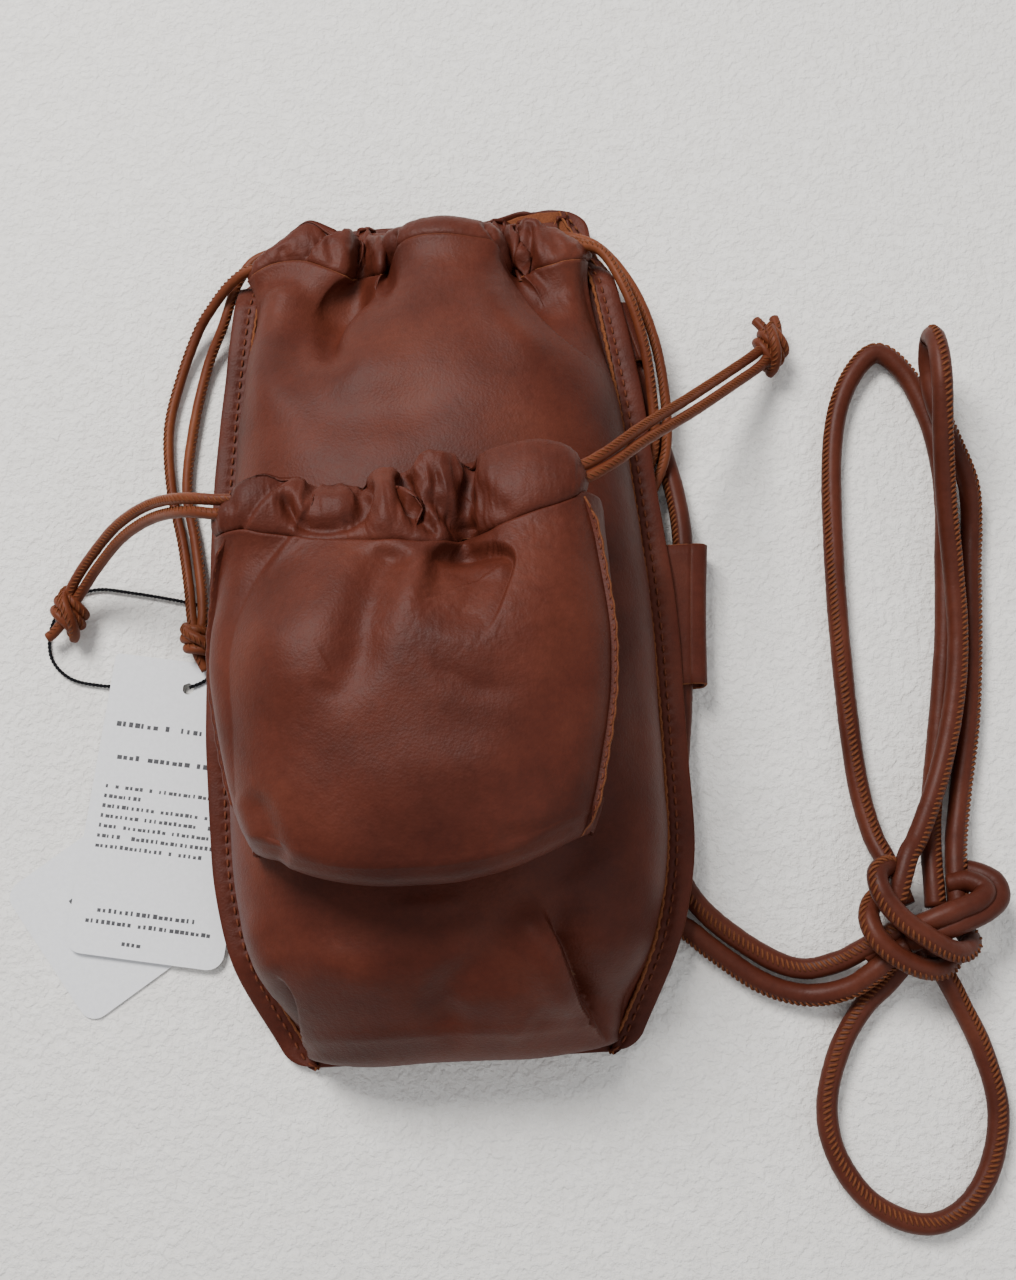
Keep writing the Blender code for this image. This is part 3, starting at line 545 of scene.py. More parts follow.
def cord_geometry(route, radius, turns, spacing, band):
    """A rolled leather cord along a route: its rings, the path, and its whip stitches' paths."""
    path = even_curve(route, spacing)
    direction = seam_direction(path, turns)
    around = np.linspace(0, math.tau, CORD_SIDES, endpoint=False)
    around = np.minimum(around, math.tau - around)
    groove = 1 - 0.07 * np.exp(-(around / 0.3) ** 2)
    s = lengths_along(path)
    lumps = 1 + 0.012 * np.sin(s * 1.1 / radius)[:, None] + 0.01 * RNG.normal(size=(len(path), 1))
    rings = tube_points(path, direction, radius * groove * lumps, CORD_SIDES)
    frames = (path, *frame_along(path, direction))
    stitches = []
    for k in range(1, int(s[-1] / CORD_PITCH)):
        arc = []
        for t in np.linspace(-1, 1, 5):
            mark = k * CORD_PITCH + t * CORD_PITCH * 0.52 + RNG.normal() * 0.03
            where = np.interp(mark, s, np.arange(len(path)))
            i = int(min(where, len(path) - 2))
            f = where - i
            centre, first, second = (v[i] * (1 - f) + v[i + 1] * f for v in frames)
            angle = t * band / 2
            rise = radius * (0.965 + 0.045 * (1 - t * t))
            arc.append(centre + rise * (first * math.cos(angle) + second * math.sin(angle)))
        stitches.append(arc)
    return rings, path, stitches


def leather_cords(name, piece, kind, routes, spacing, body, replaced):
    """Rolled cords as one piece and their stitches as another, and the last cord's path.

    Each route comes with the angles of its seam.
    """
    radius, leather, slot, _, band = kind
    points = []
    faces = []
    stitches = []
    offset = 0
    for route, turns in routes:
        rings, path, arcs = cord_geometry(route, radius, turns, spacing, band)
        points.append(rings.reshape(-1, 3))
        faces += tube_faces(len(path), CORD_SIDES, offset)
        offset += len(points[-1])
        stitches += arcs
    cords = make_piece(piece, np.vstack(points), faces, [leather], body, replaced, slot)
    seam = add_threads(name + "_stitches", stitches, radius * 0.1 + 0.1, SEAM_THREAD, body)
    return cords, seam, path


def add_cord(name, route, kind, turns, body, knot=()):
    """One stretch of a stitched cord and its stitches."""
    cord, seam, path = leather_cords(name, name + "_leather", kind, [(route, turns)], kind[3], body,
                                     [name])
    declare_cord(cord, path, kind[0], [seam, *knot])


def add_knot(name, routes, kind, body, replaced):
    """A knot: each of its turns is a cord along a route, with the angle of its seam."""
    turns = [(route, ((0, angle), (1, angle + 10))) for route, angle in routes]
    return leather_cords(name, name, kind, turns, KNOT_SPACING, body, [replaced])[:2]


def declare_cord(cord, path, radius, pieces):
    length = lengths_along(path)[-1] * MM
    tuple(place(path[0]))
    [tuple(p) for p in place(path)]


# ---- camera ------------------------------------------------------------------------------
CAMERA_TARGET = (19.6, -6.8, 0)
CAMERA_DISTANCE = 480
CAMERA_ELEVATION = math.radians(79)
CAMERA_AZIMUTH = math.radians(4)
CAMERA_ROLL = math.radians(3.2)
CAMERA_LENS = 43.74


def add_camera():
    away = Vector((math.sin(CAMERA_AZIMUTH) * math.cos(CAMERA_ELEVATION),
                   -math.cos(CAMERA_AZIMUTH) * math.cos(CAMERA_ELEVATION), math.sin(CAMERA_ELEVATION)))
    up = Vector((0, 1, 0))
    up = (up - up.dot(away) * away).normalized()
    right = up.cross(away)
    picture_right = right * math.cos(CAMERA_ROLL) - up * math.sin(CAMERA_ROLL)
    picture_up = up * math.cos(CAMERA_ROLL) + right * math.sin(CAMERA_ROLL)
    rotation = Matrix((picture_right, picture_up, away)).transposed().to_4x4()
    data = bpy.data.cameras.new("camera")
    data.lens = CAMERA_LENS
    data.sensor_width = 36
    data.clip_start = 0.01
    camera = bpy.data.objects.new("camera", data)
    bpy.context.scene.collection.objects.link(camera)
    target = Vector(place(CAMERA_TARGET))
    camera.matrix_world = Matrix.Translation(target + away * CAMERA_DISTANCE * MM) @ rotation
    bpy.context.scene.camera = camera


# ---- the shoulder strap ------------------------------------------------------------------
# a point with no height lies on the floor
STRAP_RIGHT = ((58, 94.5, 7.2), (60.2, 86, 7.2), (62.6, 78, 7.2), (65.8, 69, 6.6), (70.8, 51, 4.2),
    (74.2, 33, 5), (74.8, 17, 7.2), (73.2, -4, 7.2), (71.4, -26, 7.2), (69.5, -43, 5.4), (67, -58, 4),
    (65.5, -71), (66.8, -82), (71.4, -90.4), (79.4, -98.6), (91.6, -107.4), (101.1, -110.6, 4.2),
    (110.6, -109, 6.4), (116.4, -106.4, 8.6), (122.4, -103.4, 10.6), (128.4, -100.6, 11.6))
STRAP_LEFT = ((-54.8, 94.5, 7.2), (-56.2, 86, 7.2), (-57.7, 77, 7.2), (-58, 50, 6.4), (-57.2, 18, 7.2),
    (-57, -4, 7.2), (-56.6, -26, 7.2), (-53, -45, 5.6), (-44, -63, 4.4), (-28, -77), (-8, -86),
    (14, -90.5), (36, -92), (54, -92.6), (65.6, -96), (75, -103.8), (88.4, -113.8), (101, -118, 4.6),
    (112, -116.6, 8.4), (119.2, -112.6, 11.2), (124.4, -108.8, 12.6), (130, -105, 13))
STRAP_LOOP_OUTER = ((130, -94, 13), (128.2, -87.4, 11.6), (126.6, -80.5, 8.6), (124, -72, 5.4),
    (121.6, -55), (120.6, -25), (121.2, 11), (123.8, 46), (129.6, 66), (140, 77.5), (149, 70),
    (154.6, 55), (156.8, 41), (156.8, 26), (155, 10), (152.4, -14), (148.6, -36), (144.2, -58, 3.8),
    (141.4, -72, 6), (140, -80.5, 9), (139.4, -88, 11), (139, -95, 12))
STRAP_LOOP_INNER = ((126.4, -93, 17), (128.8, -86.4, 17.4), (131.8, -79.5, 16.5), (135.8, -74, 14.4),
    (144.6, -56, 11), (151, -36, 10.2), (154.4, -16, 10.4), (154.6, 6, 13), (153.4, 24, 18),
    (152.8, 42, 24.5), (153, 57, 29.4), (153.3, 68, 28.6), (153.6, 74.5, 23.6), (153.9, 74.8, 17.4),
    (154.2, 69, 12.4), (155.4, 58, 10.6), (159, 45, 10.8), (163.4, 32, 8), (164, 20, 4.4), (162.4, 6),
    (160.2, -16), (156.8, -40), (152.2, -60, 3.8), (149.2, -72, 5.6), (147.2, -80, 8.4), (146.2, -88, 10),
    (145.8, -95, 11))
STRAP_END_LOOP = ((133, -105.4, 9), (128.8, -111, 6.8), (124.4, -116, 4.4), (117, -122.4), (109, -134),
    (104, -149), (105.4, -163), (113.6, -176), (127, -183), (139, -180.4), (148.4, -169.4), (152.8, -153),
    (150, -136, 3.8), (144.6, -123, 6), (141.4, -116.6, 8.4), (138, -110.4, 10), (134.4, -104, 11))
# the strap's turns in its knot, each with the angle of its seam
STRAP_KNOT = (
    (((128.4, -83.4, 12), (124.6, -82.6, 17.4), (121.4, -84.6, 21), (121, -88.6, 23.2),
     (122.9, -93.3, 24), (126.9, -98.5, 24.6), (133, -103.3, 24), (139, -106.9, 21), (144.1, -108, 17),
     (148, -105.6, 12), (147, -101.6, 8)), 38),
    (((128.6, -90.4, 6), (124.4, -90.6, 9), (120.6, -92.9, 13), (118.6, -97.2, 16.6), (120.1, -103, 18.8),
     (125.3, -108.3, 18.6), (132.4, -111.9, 16.4), (139, -112.4, 12.6), (143.4, -109.6, 8)), 48),
    (((146, -84.6, 5), (151.8, -85.4, 8.4), (156.6, -88.6, 12), (156.6, -93.4, 15), (151.4, -97.2, 17.6),
     (144.6, -99.8, 18.6), (137, -102.2, 17.6), (130, -104.6, 14)), 150),
    (((144, -88.6, 10.4), (149, -88.2, 13.4), (152.4, -91, 16.6), (149.6, -94, 19.2), (143, -96.2, 20.2),
     (136, -98.6, 19.6), (129, -101.4, 16)), 150),
    (((118, -107.6, 8), (126, -103.4, 10.4), (134, -100, 11), (141, -98, 10)), 90),
)

# the strap's stretches, each with the angles of its seam
STRAP_CORDS = (("strap_right", STRAP_RIGHT, ((0, 60), (0.6, 40), (1, -30))),
               ("strap_left", STRAP_LEFT, ((0, -60), (0.7, 80), (1, 70))),
               ("strap_loop_outer", STRAP_LOOP_OUTER, ((0, 30), (0.3, -35), (0.5, -70), (1, -30))),
               ("strap_loop_inner", STRAP_LOOP_INNER, ((0, 35), (0.4, 40), (0.6, -60), (1, -60))),
               ("strap_end_loop", STRAP_END_LOOP, ((0, 45), (0.5, -20), (1, 45))))


def lying(route):
    """A strap's route, where a point with no height lies on the floor."""
    return [(*point, STRAP_REST)[:3] for point in route]


def add_strap():
    knot = add_knot("strap_knot_turns", STRAP_KNOT, STRAP, POUCH, "strap_knot")
    for name, route, turns in STRAP_CORDS:
        add_cord(name, lying(route), STRAP, turns, POUCH, knot if name == "strap_right" else ())


# ---- the drawstrings ---------------------------------------------------------------------
MAIN_LEFT_FRONT = ((-38, 113, 19), (-44, 113, 18.8), (-50, 113, 18), (-56, 112, 16.4), (-62, 109, 13.4),
    (-68, 104.4, 8.8), (-73.6, 98, 4.8), (-80, 83, 2.4), (-84, 66.5, 2), (-83.4, 47, 2), (-80.2, 30, 2.4),
    (-78, 15, 4.2), (-76.8, 5.2, 6.6), (-76, 0, 6.8))
MAIN_LEFT_BACK = ((-37, 120.5, 10.8), (-42, 120.5, 10.8), (-48, 120.5, 10.8), (-54.6, 118.4, 10),
    (-59.6, 112, 9.2), (-62.2, 106.6, 8.2), (-65, 99.4, 6.6), (-71.2, 87, 2.6), (-76.2, 67, 2),
    (-78.6, 47, 2), (-76.2, 30, 2.4), (-74.2, 15, 4.2), (-73.4, 5, 6.6), (-74, 0, 6.8))
MAIN_RIGHT_FRONT = ((38, 113, 19), (44, 113, 19), (50, 113, 19), (56.6, 109.4, 19), (63, 95, 19),
    (66.8, 80, 16.6), (68.4, 64, 13.2), (68.4, 52, 10.8), (67, 45, 8.9), (63.4, 37.4, 6.8),
    (59.6, 31.2, 6), (57.4, 26, 6))
MAIN_RIGHT_BACK = ((37, 120.5, 10.8), (42, 120.5, 10.8), (47.6, 119.4, 10.8), (54.2, 115.2, 13.4),
    (60.8, 107, 14.4), (66.8, 95.4, 13.8), (70.8, 81, 12.8), (72.4, 66, 11.8), (72.4, 54, 10.6),
    (71, 45, 9.9), (67.6, 37.4, 8.9), (63.6, 30.2, 7.8), (59.4, 25, 6.6))
POCKET_LEFT_FRONT = ((-41, 18.6, 70), (-47, 18.6, 70), (-55, 18.6, 70), (-66, 21.4, 64.6),
    (-79, 24.8, 47.6), (-91.6, 24.2, 31.4), (-102.6, 19.4, 17.6), (-108.6, 15, 11), (-112.4, 11, 8.4))
POCKET_LEFT_BACK = ((-41, 22.4, 70), (-47, 22.4, 70), (-55, 22.6, 70), (-67, 25, 65.4), (-80, 28.4, 48.6),
    (-93, 27.6, 32.4), (-104.6, 22.4, 18.4), (-111.4, 17, 11.4), (-114.4, 12.6, 8.6))
POCKET_RIGHT_FRONT = ((28, 21.6, 70), (34, 21.6, 70), (42, 22, 70), (51, 27, 66.6), (62, 37, 55.4),
    (78, 51, 36), (94, 65.4, 18.6), (102.4, 72.6, 11.6), (106, 77, 8.6))
POCKET_RIGHT_BACK = ((28, 25.4, 70), (34, 25.4, 70), (42, 25.8, 70), (50, 30.4, 67), (60.4, 40.2, 56),
    (76, 54.4, 36.8), (91.6, 68.6, 19.2), (99.6, 75.4, 12.4), (104, 79.4, 9))
TAG_STRING = ((-78.6, -16.4, 2.9), (-74, -14.6, 2.9), (-69.6, -11, 2.9), (-67.6, -6, 2.6),
    (-67.8, -0.6, 1.2), (-70.4, 5, 0.7), (-74, 8.6, 0.7), (-80, 11, 0.7), (-97, 15, 0.7),
    (-108, 16.6, 0.7), (-117, 13.4, 0.7), (-122, 5, 0.7), (-121.8, -4.4, 0.7), (-116, -11, 0.7),
    (-106.6, -13.8, 0.7), (-94, -15.4, 0.7), (-82, -20, 0.8), (-74, -28, 1.1), (-66, -38, 1.1),
    (-56.6, -48, 1.1))

# the drawstrings' knots: node, body, centre, size, heading in radians, and cut ends
STRING_KNOTS = (
    ("main_left_knot", "main_knot_left", MAIN_PULL, (-75.2, -2.6, 6.6), 11, 1.65,
     (((-75.6, -6, 6), (-74, -9.6, 5), (-73, -11.6, 4.6)),)),
    ("main_right_knot", "main_knot_right", POUCH, (56, 22.4, 6.2), 10.5, 1.1,
     (((56, 20, 6), (54, 15, 4), (53, 12, 3.6)),)),
    ("pocket_left_knot", "pocket_knot_left", POCKET_PULL_LEFT, (-114.4, 8.8, 7), 13, 0.95,
     (((-116.6, 5.4, 7), (-119.6, 2.6, 5.6), (-121.6, 1.4, 5)),)),
    ("pocket_right_knot", "pocket_knot_right", POCKET_PULL_RIGHT, (107.2, 80.6, 7.4), 13, 0.75,
     (((107.4, 83, 8), (105, 87.4, 7), (103.4, 90, 6)),
      ((109.4, 83, 8), (109.6, 87.4, 7), (109.2, 90.4, 6)))),
)
# their strands: route, body, knot and the angles of the seam at both ends
STRANDS = (
    ("main_cord_left_front", MAIN_LEFT_FRONT, MAIN_PULL, "main_left_knot", 60, 35),
    ("main_cord_left_back", MAIN_LEFT_BACK, MAIN_PULL, None, -60, -80),
    ("main_cord_right_front", MAIN_RIGHT_FRONT, POUCH, "main_right_knot", -30, -40),
    ("main_cord_right_back", MAIN_RIGHT_BACK, POUCH, None, 30, 40),
    ("pocket_cord_left_front", POCKET_LEFT_FRONT, POCKET_PULL_LEFT, "pocket_left_knot", 30, 10),
    ("pocket_cord_left_back", POCKET_LEFT_BACK, POCKET_PULL_LEFT, None, -10, -30),
    ("pocket_cord_right_front", POCKET_RIGHT_FRONT, POCKET_PULL_RIGHT, "pocket_right_knot", 20, 0),
    ("pocket_cord_right_back", POCKET_RIGHT_BACK, POCKET_PULL_RIGHT, None, -5, -20),
)


def barrel_knot(centre, size, heading):
    """The turns of a small tight knot of a doubled cord, which runs along heading (radians)."""
    along = np.array([math.cos(heading), math.sin(heading), 0])
    side = np.array([-along[1], along[0], 0])
    wide = size * 0.5 - DRAWSTRING_RADIUS
    turns = []
    t = np.linspace(-0.15, 1.15, 15)
    angle = math.pi * (1.08 - 1.16 * t)
    for k in (-1, 0, 1):
        shift = k * DRAWSTRING_RADIUS * 1.9 + (t - 0.5) * DRAWSTRING_RADIUS * 1.9
        middle = wide * (1 - 0.16 * k ** 2)
        turns.append((centre + np.outer(shift, along) + np.outer(middle * np.cos(angle), side)
                      + np.outer(middle * 0.86 * np.sin(angle) - 1, UP), 12 - 20 * k))
    t = np.linspace(0, 1, 13)
    angle = math.pi * (1.1 - 1.2 * t)
    over = wide * 1.12
    turns.append((centre + np.outer((t - 0.5) * size * 0.95, along)
                  + np.outer(over * 0.9 * np.cos(angle) - 0.6, side)
                  + np.outer(over * 1.02 * np.sin(angle) - 0.6, UP), -30))
    return turns


def add_drawstrings():
    knots = {None: ()}
    for name, replaced, body, centre, size, heading, ends in STRING_KNOTS:
        routes = barrel_knot(centre, size, heading) + [(end, 20) for end in ends]
        knots[name] = add_knot(name, routes, DRAWSTRING, body, replaced)
    for name, route, body, knot, first, last in STRANDS:
        add_cord(name, route, DRAWSTRING, ((0, first), (1, last)), body, knots[knot])


def add_tag_string():
    """A two-ply black string."""
    path = even_curve(TAG_STRING, 0.35)
    tangent = unit(np.gradient(path, axis=0))
    side = unit(np.cross(tangent, UP))
    up = np.cross(side, tangent)
    s = lengths_along(path)
    points = []
    faces = []
    sides = 6
    for k in range(2):
        phase = s[:, None] * math.tau / 2.4 + k * math.pi
        ply = path + (side * np.cos(phase) + up * np.sin(phase)) * STRING_RADIUS * 0.56
        faces += tube_faces(len(ply), sides, k * len(ply) * sides)
        radii = np.full((len(ply), sides), STRING_RADIUS * 0.66)
        points.append(tube_points(ply, up, radii, sides).reshape(-1, 3))
    string = make_piece("tag_string_plies", np.vstack(points), faces, [BLACK_STRING], POCKET_PULL_LEFT,
                        ["tag_string"], "tag_string_cord")
    declare_cord(string, path, STRING_RADIUS + 0.1, [])


# ---- gathers -----------------------------------------------------------------------------
def gather_lines(seam, top, count):
    """The casing's two lines, read at matching shares of their length."""
    both = smooth_curve(np.hstack([seam, top]), 16)
    s = lengths_along(both[:, :3]) + lengths_along(both[:, 3:])
    read = read_rows(both, s / s[-1], np.linspace(0, 1, count))
    return read[:, :3], read[:, 3:]


def casing_grid(seam, top, puff, inset):
    """A drawstring casing: up from its seam, over its rounded top edge and back down inside."""
    up = top - seam
    across = np.gradient(smooth_along(seam * 0.5 + top * 0.5, 6), axis=0)
    normal = unit(np.cross(across, up))
    rows = []
    for t in np.linspace(0, 1, CASING_ROWS):
        swell = puff * math.sin(math.pi * min(t * 1.02, 1)) ** 0.75
        rows.append(seam + up * t * 0.97 + normal * (swell - 0.55 * math.exp(-(t / 0.05) ** 2)))
    for t in (0.25, 0.5, 0.75, 1.0):
        turn = t * math.pi
        rows.append(seam + up * (0.97 + 0.03 * math.sin(turn / 2))
                    + normal * (-inset * (1 - math.cos(turn)) / 2))
    for t in np.linspace(0.1, 1, 8):
        rows.append(top - up * t - normal * (inset + 0.8 * math.sin(math.pi * t)))
    return np.array(rows)


# folds: route, depth, width, how it fades at both ends, and the side that a crease moves
MAIN_CASING_FOLDS = (
    (((-36.6, 110), (-31.5, 117), (-24.6, 122), (-21, 123.4)), -3.8, 9, (0, 0), 1),
    (((-18.6, 104), (-18.2, 111.8), (-18, 119)), -1.5, 2.6, (0, 0)),
    (((-12.8, 104.3), (-11.8, 111.5), (-9.4, 119.5)), 1, 1.3, (0.2, 0.2)),
    (((-9.7, 105.8), (-8.6, 112.9), (-7, 117.3)), -1.6, 1.2, (0, 0.2)),
    (((19.5, 117.4), (22, 113), (24.8, 107.3)), -1.6, 1.3, (0.2, 0)),
    (((33.6, 121), (32.2, 111), (29.4, 103)), -2.6, 2.2, (0.1, 0)),
    (((30.6, 120), (29.4, 112), (28, 104)), 1.2, 1.3, (0.2, 0.2)),
    (((37, 122), (40, 114), (43, 107)), -0.9, 2.4, (0.2, 0.2)),
    (((-44, 118), (-43, 112)), -0.9, 1.8, (0.2, 0)),
    (((-29, 118), (-27, 110)), -0.9, 2, (0.3, 0)),
)
POCKET_CASING_FOLDS = (
    (((-48.6, 10.6), (-43.6, 17.4), (-36.9, 25), (-33.5, 27), (-31, 26.4)), -1.9, 8, (0, 0), 1),
    (((-36.3, 23), (-34.8, 16.2), (-30.4, 12.4), (-22.9, 11.6), (-17.2, 14), (-15, 19), (-14.6, 26)),
     -3.2, 1.7, (0.1, 0.1)),
    (((-29.4, 22.5), (-23.6, 19.4), (-18.6, 22)), 2.2, 4, (0.1, 0.1)),
    (((-16.3, 27), (-16.6, 21)), -1.2, 0.9, (0, 0.3)),
    (((-9, 26), (-10, 16), (-11, 8)), 1.4, 3, (0.2, 0.2)),
    (((-5.4, 27), (-4.1, 19.4), (0.1, 12), (5, 8)), -3.4, 2, (0.1, 0.1)),
    (((-1.4, 24), (-0.2, 28.8), (3.6, 31.3), (7.3, 30.3), (9.8, 26.5), (10.9, 21)), 1.8, 1.3, (0.1, 0.2)),
    (((3.4, 27), (4.4, 20)), -1.8, 1.5, (0.2, 0.2)),
    (((0.6, 20), (5.7, 15.4), (10.4, 9.6)), -3.8, 2.6, (0.2, 0)),
    (((13.1, 31), (12.2, 25.3), (11.6, 19), (12, 12)), -2.6, 1.4, (0, 0.3)),
    (((14.6, 22), (19, 14), (26, 11)), -1.2, 2.6, (0.2, 0.3)),
    (((-53, 24), (-50, 17)), -0.9, 1.6, (0.1, 0.2)),
)


def wrinkled_casing(seam, top, puff, inset, folds, seed):
    grid = casing_grid(seam, top, puff, inset)
    shift = folded(grid, folds)
    steep = np.abs(np.gradient(shift, axis=1)) + np.abs(np.gradient(grid[..., 2], axis=1))
    near = smoothstep(smooth_along(steep.T, 10).T / 0.3)
    shift = shift + (0.05 + 0.24 * near) * noise_on(grid, 5, seed, 3, (1.6, 0.5))
    shift = shift + (0.03 + 0.1 * near) * noise_on(grid, 2.4, seed + 1, 2, (1, 0.6))
    shift[CASING_ROWS:] *= np.exp(-np.arange(len(shift) - CASING_ROWS) / 2)[:, None]
    shift[0] *= 0.6
    return moved(grid, shift)


def add_main_gather():
    seam, top = gather_lines(MAIN_SEAM, MAIN_TOP, BODY_COLUMNS)
    grid = wrinkled_casing(seam, top, 1.9, 2.2, MAIN_CASING_FOLDS, 11)
    leather_sheet("main_casing", grid, CASING_THICKNESS, ["main_casing_front"])
    return seam


# ---- the body ----------------------------------------------------------------------------
BODY_FOLDS = (
    (((-20.4, 106), (-22.4, 99), (-26, 93), (-28.6, 86), (-28.4, 78), (-24, 70), (-17, 65)), -6, 4.4,
     (0, 0.55)),
    (((-20, 104), (-31, 94), (-37, 82), (-34, 68), (-22, 58)), -4.2, 9, (0, 0.5)),
    (((-40, 107), (-46, 90), (-47.6, 72), (-44, 50)), 3.4, 6.5, (0.15, 0.5)),
    (((-52, 108), (-53, 96), (-54, 80)), -1.2, 3, (0.1, 0.5)),
    (((-10.5, 107), (-11, 98), (-13, 88)), -1.4, 2.4, (0, 0.7)),
    (((22, 110), (24.5, 104), (28.5, 95.6), (33.6, 85.4), (40.4, 75.5), (48.9, 69.4), (56, 66)), -6.4, 11,
     (0, 0.4), 1),
    (((28.6, 101.5), (33.9, 99), (40, 96.4)), 1.1, 1.6, (0, 0.5)),
    (((33, 95), (39, 89), (47, 82)), -0.9, 3, (0.2, 0.5)),
    (((42, 104), (46, 96), (49, 84)), 1, 3.4, (0.2, 0.5)),
    (((18, 100), (22, 84), (30, 70), (40, 60)), 1.6, 6, (0.3, 0.4)),
    (((-46, 64), (-22, 52), (4, 56), (20, 72)), -2.4, 10, (0.3, 0.5)),
    (((24, -88), (28.7, -97), (31.5, -105.5), (34.7, -115.5), (38.4, -121.7), (41.5, -128)), -10.5, 11,
     (0.35, 0.2), 1),
    (((47, -52), (38, -72), (29, -88), (33, -104)), -2.6, 8),
    (((-54, -84), (-52, -96), (-47, -106)), 1.8, 5, (0.4, 0.3)),
    (((17, -88), (25, -99), (29, -112), (34, -122)), 3, 6),
    (((-47.6, -103), (-44.4, -107.8), (-43.5, -112.1), (-44.4, -118.4), (-45.9, -126)), -3.8, 5,
     (0.3, 0.2), -1),
    (((24.5, -92), (10.7, -101.3), (-1.1, -109.9), (-1.9, -116.4), (3.7, -125)), -2.3, 5, (0.3, 0.2)),
    (((14, -108), (16, -116), (22, -122)), 1, 6),
    (((-40, -96), (-24, -104), (-10, -108)), 1.2, 6, (0.4, 0.4)),
    (((58, -10), (55, -46), (50, -74)), -1.4, 6, (0.5, 0.5)),
    (((-18, -87), (-6, -88), (8, -87)), 0.8, 2.6, (0.4, 0.4)),
)


def body_front_grid(seam):
    shares = np.linspace(0, 1, BODY_COLUMNS)
    arch_x, arch_z = arch_shares(BODY_ROUNDNESS, 0.7, shares)
    rows = []
    for y, height in smooth_curve(BODY_LOWER_END, 7):
        row_y = y + 6.5 * np.abs(arch_x) ** 6 * smoothstep((35 - height) / 35)
        rows.append(stack(arch_x * body_half_width(max(y, -126)), row_y,
                          body_base(row_y) + arch_z * height))
    soft = smooth_along(seam, SEAM_PASSES)
    for y in np.linspace(-120, MOUTH_Y, BODY_ROWS):
        line = soft + (seam - soft) * float(np.clip((y - 92) / 14, 0, 1)) ** 1.6
        row_y = y + (line[:, 1] - MOUTH_Y) * smoothstep((y - 66) / 40)
        x = arch_x * body_half_width(row_y)
        z = body_base(row_y) + arch_z * table(BODY_DEPTH, row_y)
        rows.append(eased(x, row_y, z, line, np.clip((y - 48) / 58, 0, 1) ** 2.4))
    grid = np.array(rows)
    fine = smoothstep((grid[..., 1] - 70) / 30) + smoothstep((-94 - grid[..., 1]) / 20) * 0.3
    shift = folded(grid, BODY_FOLDS) + 0.4 * noise_on(grid, 46, 3, 2)
    shift += 0.09 * fine * noise_on(grid, 6, 5, 3, (0.8, 1))
    shift += 0.05 * (0.4 + fine) * noise_on(grid, 2.4, 6, 2)
    return settled(grid, shift, shares, 0.035, 11)


def add_body(seam):
    leather_sheet("pouch_front", body_front_grid(seam), FRONT_THICKNESS, ["front_panel"])
    arch_x, arch_z = arch_shares(BODY_ROUNDNESS, 0.7, np.linspace(0, 1, 91))
    rows = []
    for y in np.linspace(-108, 64, 60):
        depth = (table(BODY_DEPTH, y) - 13) * (1 - 0.3 * smoothstep((y - 30) / 34))
        rows.append(stack(arch_x * (body_half_width(y) - 6), y, body_base(y) + 0.5 + arch_z * depth))
    thick_grid("pouch_lining", np.array(rows), 0.4, [LINING, LINING], ["main_lining"], "lining_fabric")


def strip_grid(y, inner, outer, top):
    """A sewn strip's top surface along y, between two x edges, puckered at each stitch."""
    t = np.linspace(0, 1, 17)
    seam_column = np.exp(-((t - 0.34) / 0.16) ** 2)
    crown = 0.45 * (1 - (2 * t - 1) ** 4) - 0.32 * seam_column
    rows = []
    for k, here in enumerate(y):
        pucker = 0.16 * seam_column * math.cos(math.tau * here / STITCH_PITCH)
        rows.append(stack(inner[k] + (outer[k] - inner[k]) * t, here, top[k] + crown + pucker))
    return np.array(rows)


def add_stitches(name, route, normal, pitch, length, radius, rise, material):
    """Separate short stitches along a route of points, which dip into the leather."""
    s = lengths_along(route)
    normal = np.broadcast_to(normal, route.shape)
    lift = rise * np.array([-1, 0.55, 1, 0.55, -1])[:, None]
    paths = []
    for k in range(int(s[-1] / pitch)):
        marks = (k + 0.5) * pitch + np.linspace(-0.5, 0.5, 5) * length
        paths.append(read_rows(route, s, marks) + read_rows(normal, s, marks) * lift)
    add_threads(name + "_stitches", paths, radius, material, POUCH, 6)


def add_raw_edge(name, route, radius):
    """The raw cut edge that shows beside a seam."""
    s = lengths_along(route)
    sides = 8
    wobble = stack(0.16 * np.sin(s * 1.9), 0, 0.12 * np.sin(s * 2.7 + 1))
    radii = radius * (1 + 0.15 * RNG.normal(size=(len(route), sides)))
    rings = tube_points(route + wobble, np.array([0.05, 0.1, 1.0]), radii, sides)
    make_piece(name + "_raw_edge", rings.reshape(-1, 3), tube_faces(len(route), sides), [RAW_EDGE],
               POUCH)


def back_half_width(y):
    """The back panel's half width, with its rounded lower corners."""
    t = np.clip((BACK_END + CORNER_SIZE - y) / CORNER_SIZE, 0, 1)
    return half_width(y) - CORNER_SIZE * (1 - np.sqrt(1 - t * t))


def add_binding(name, side):
    """The strip where the front and the back are sewn together."""
    y = np.linspace(BACK_END, 109 if side < 0 else 113, 480)
    outer = back_half_width(y)
    inner = np.minimum(half_width(y) - BINDING_WIDTH, outer - 1)
    outer = outer + 0.3 * np.sin(y * 0.083 + 2 * side)
    top = back_top(y) + 1.4 + 0.3 * np.sin(y * 0.11 + side) + 0.15 * np.sin(y * 0.31)
    if side > 0:
        slide = 4.5 * smoothstep((y - 104) / 9)
        outer = outer - slide
        inner = inner - slide * 0.6
    grid = strip_grid(y, side * inner, side * outer, top)[:, ::side]
    leather_sheet(name + "_leather", grid, SEWN_EDGE_THICKNESS, [name])
    middle = stack(side * (inner * 0.66 + outer * 0.34), y, top + 0.2)
    add_stitches(name, middle, UP, STITCH_PITCH, 2.5, 0.36, 0.24, DARK_THREAD)
    edge = stack(side * (inner - 0.15), y, top + 0.7)
    add_raw_edge(name, edge[6::2], 0.58 if side > 0 else 0.42)


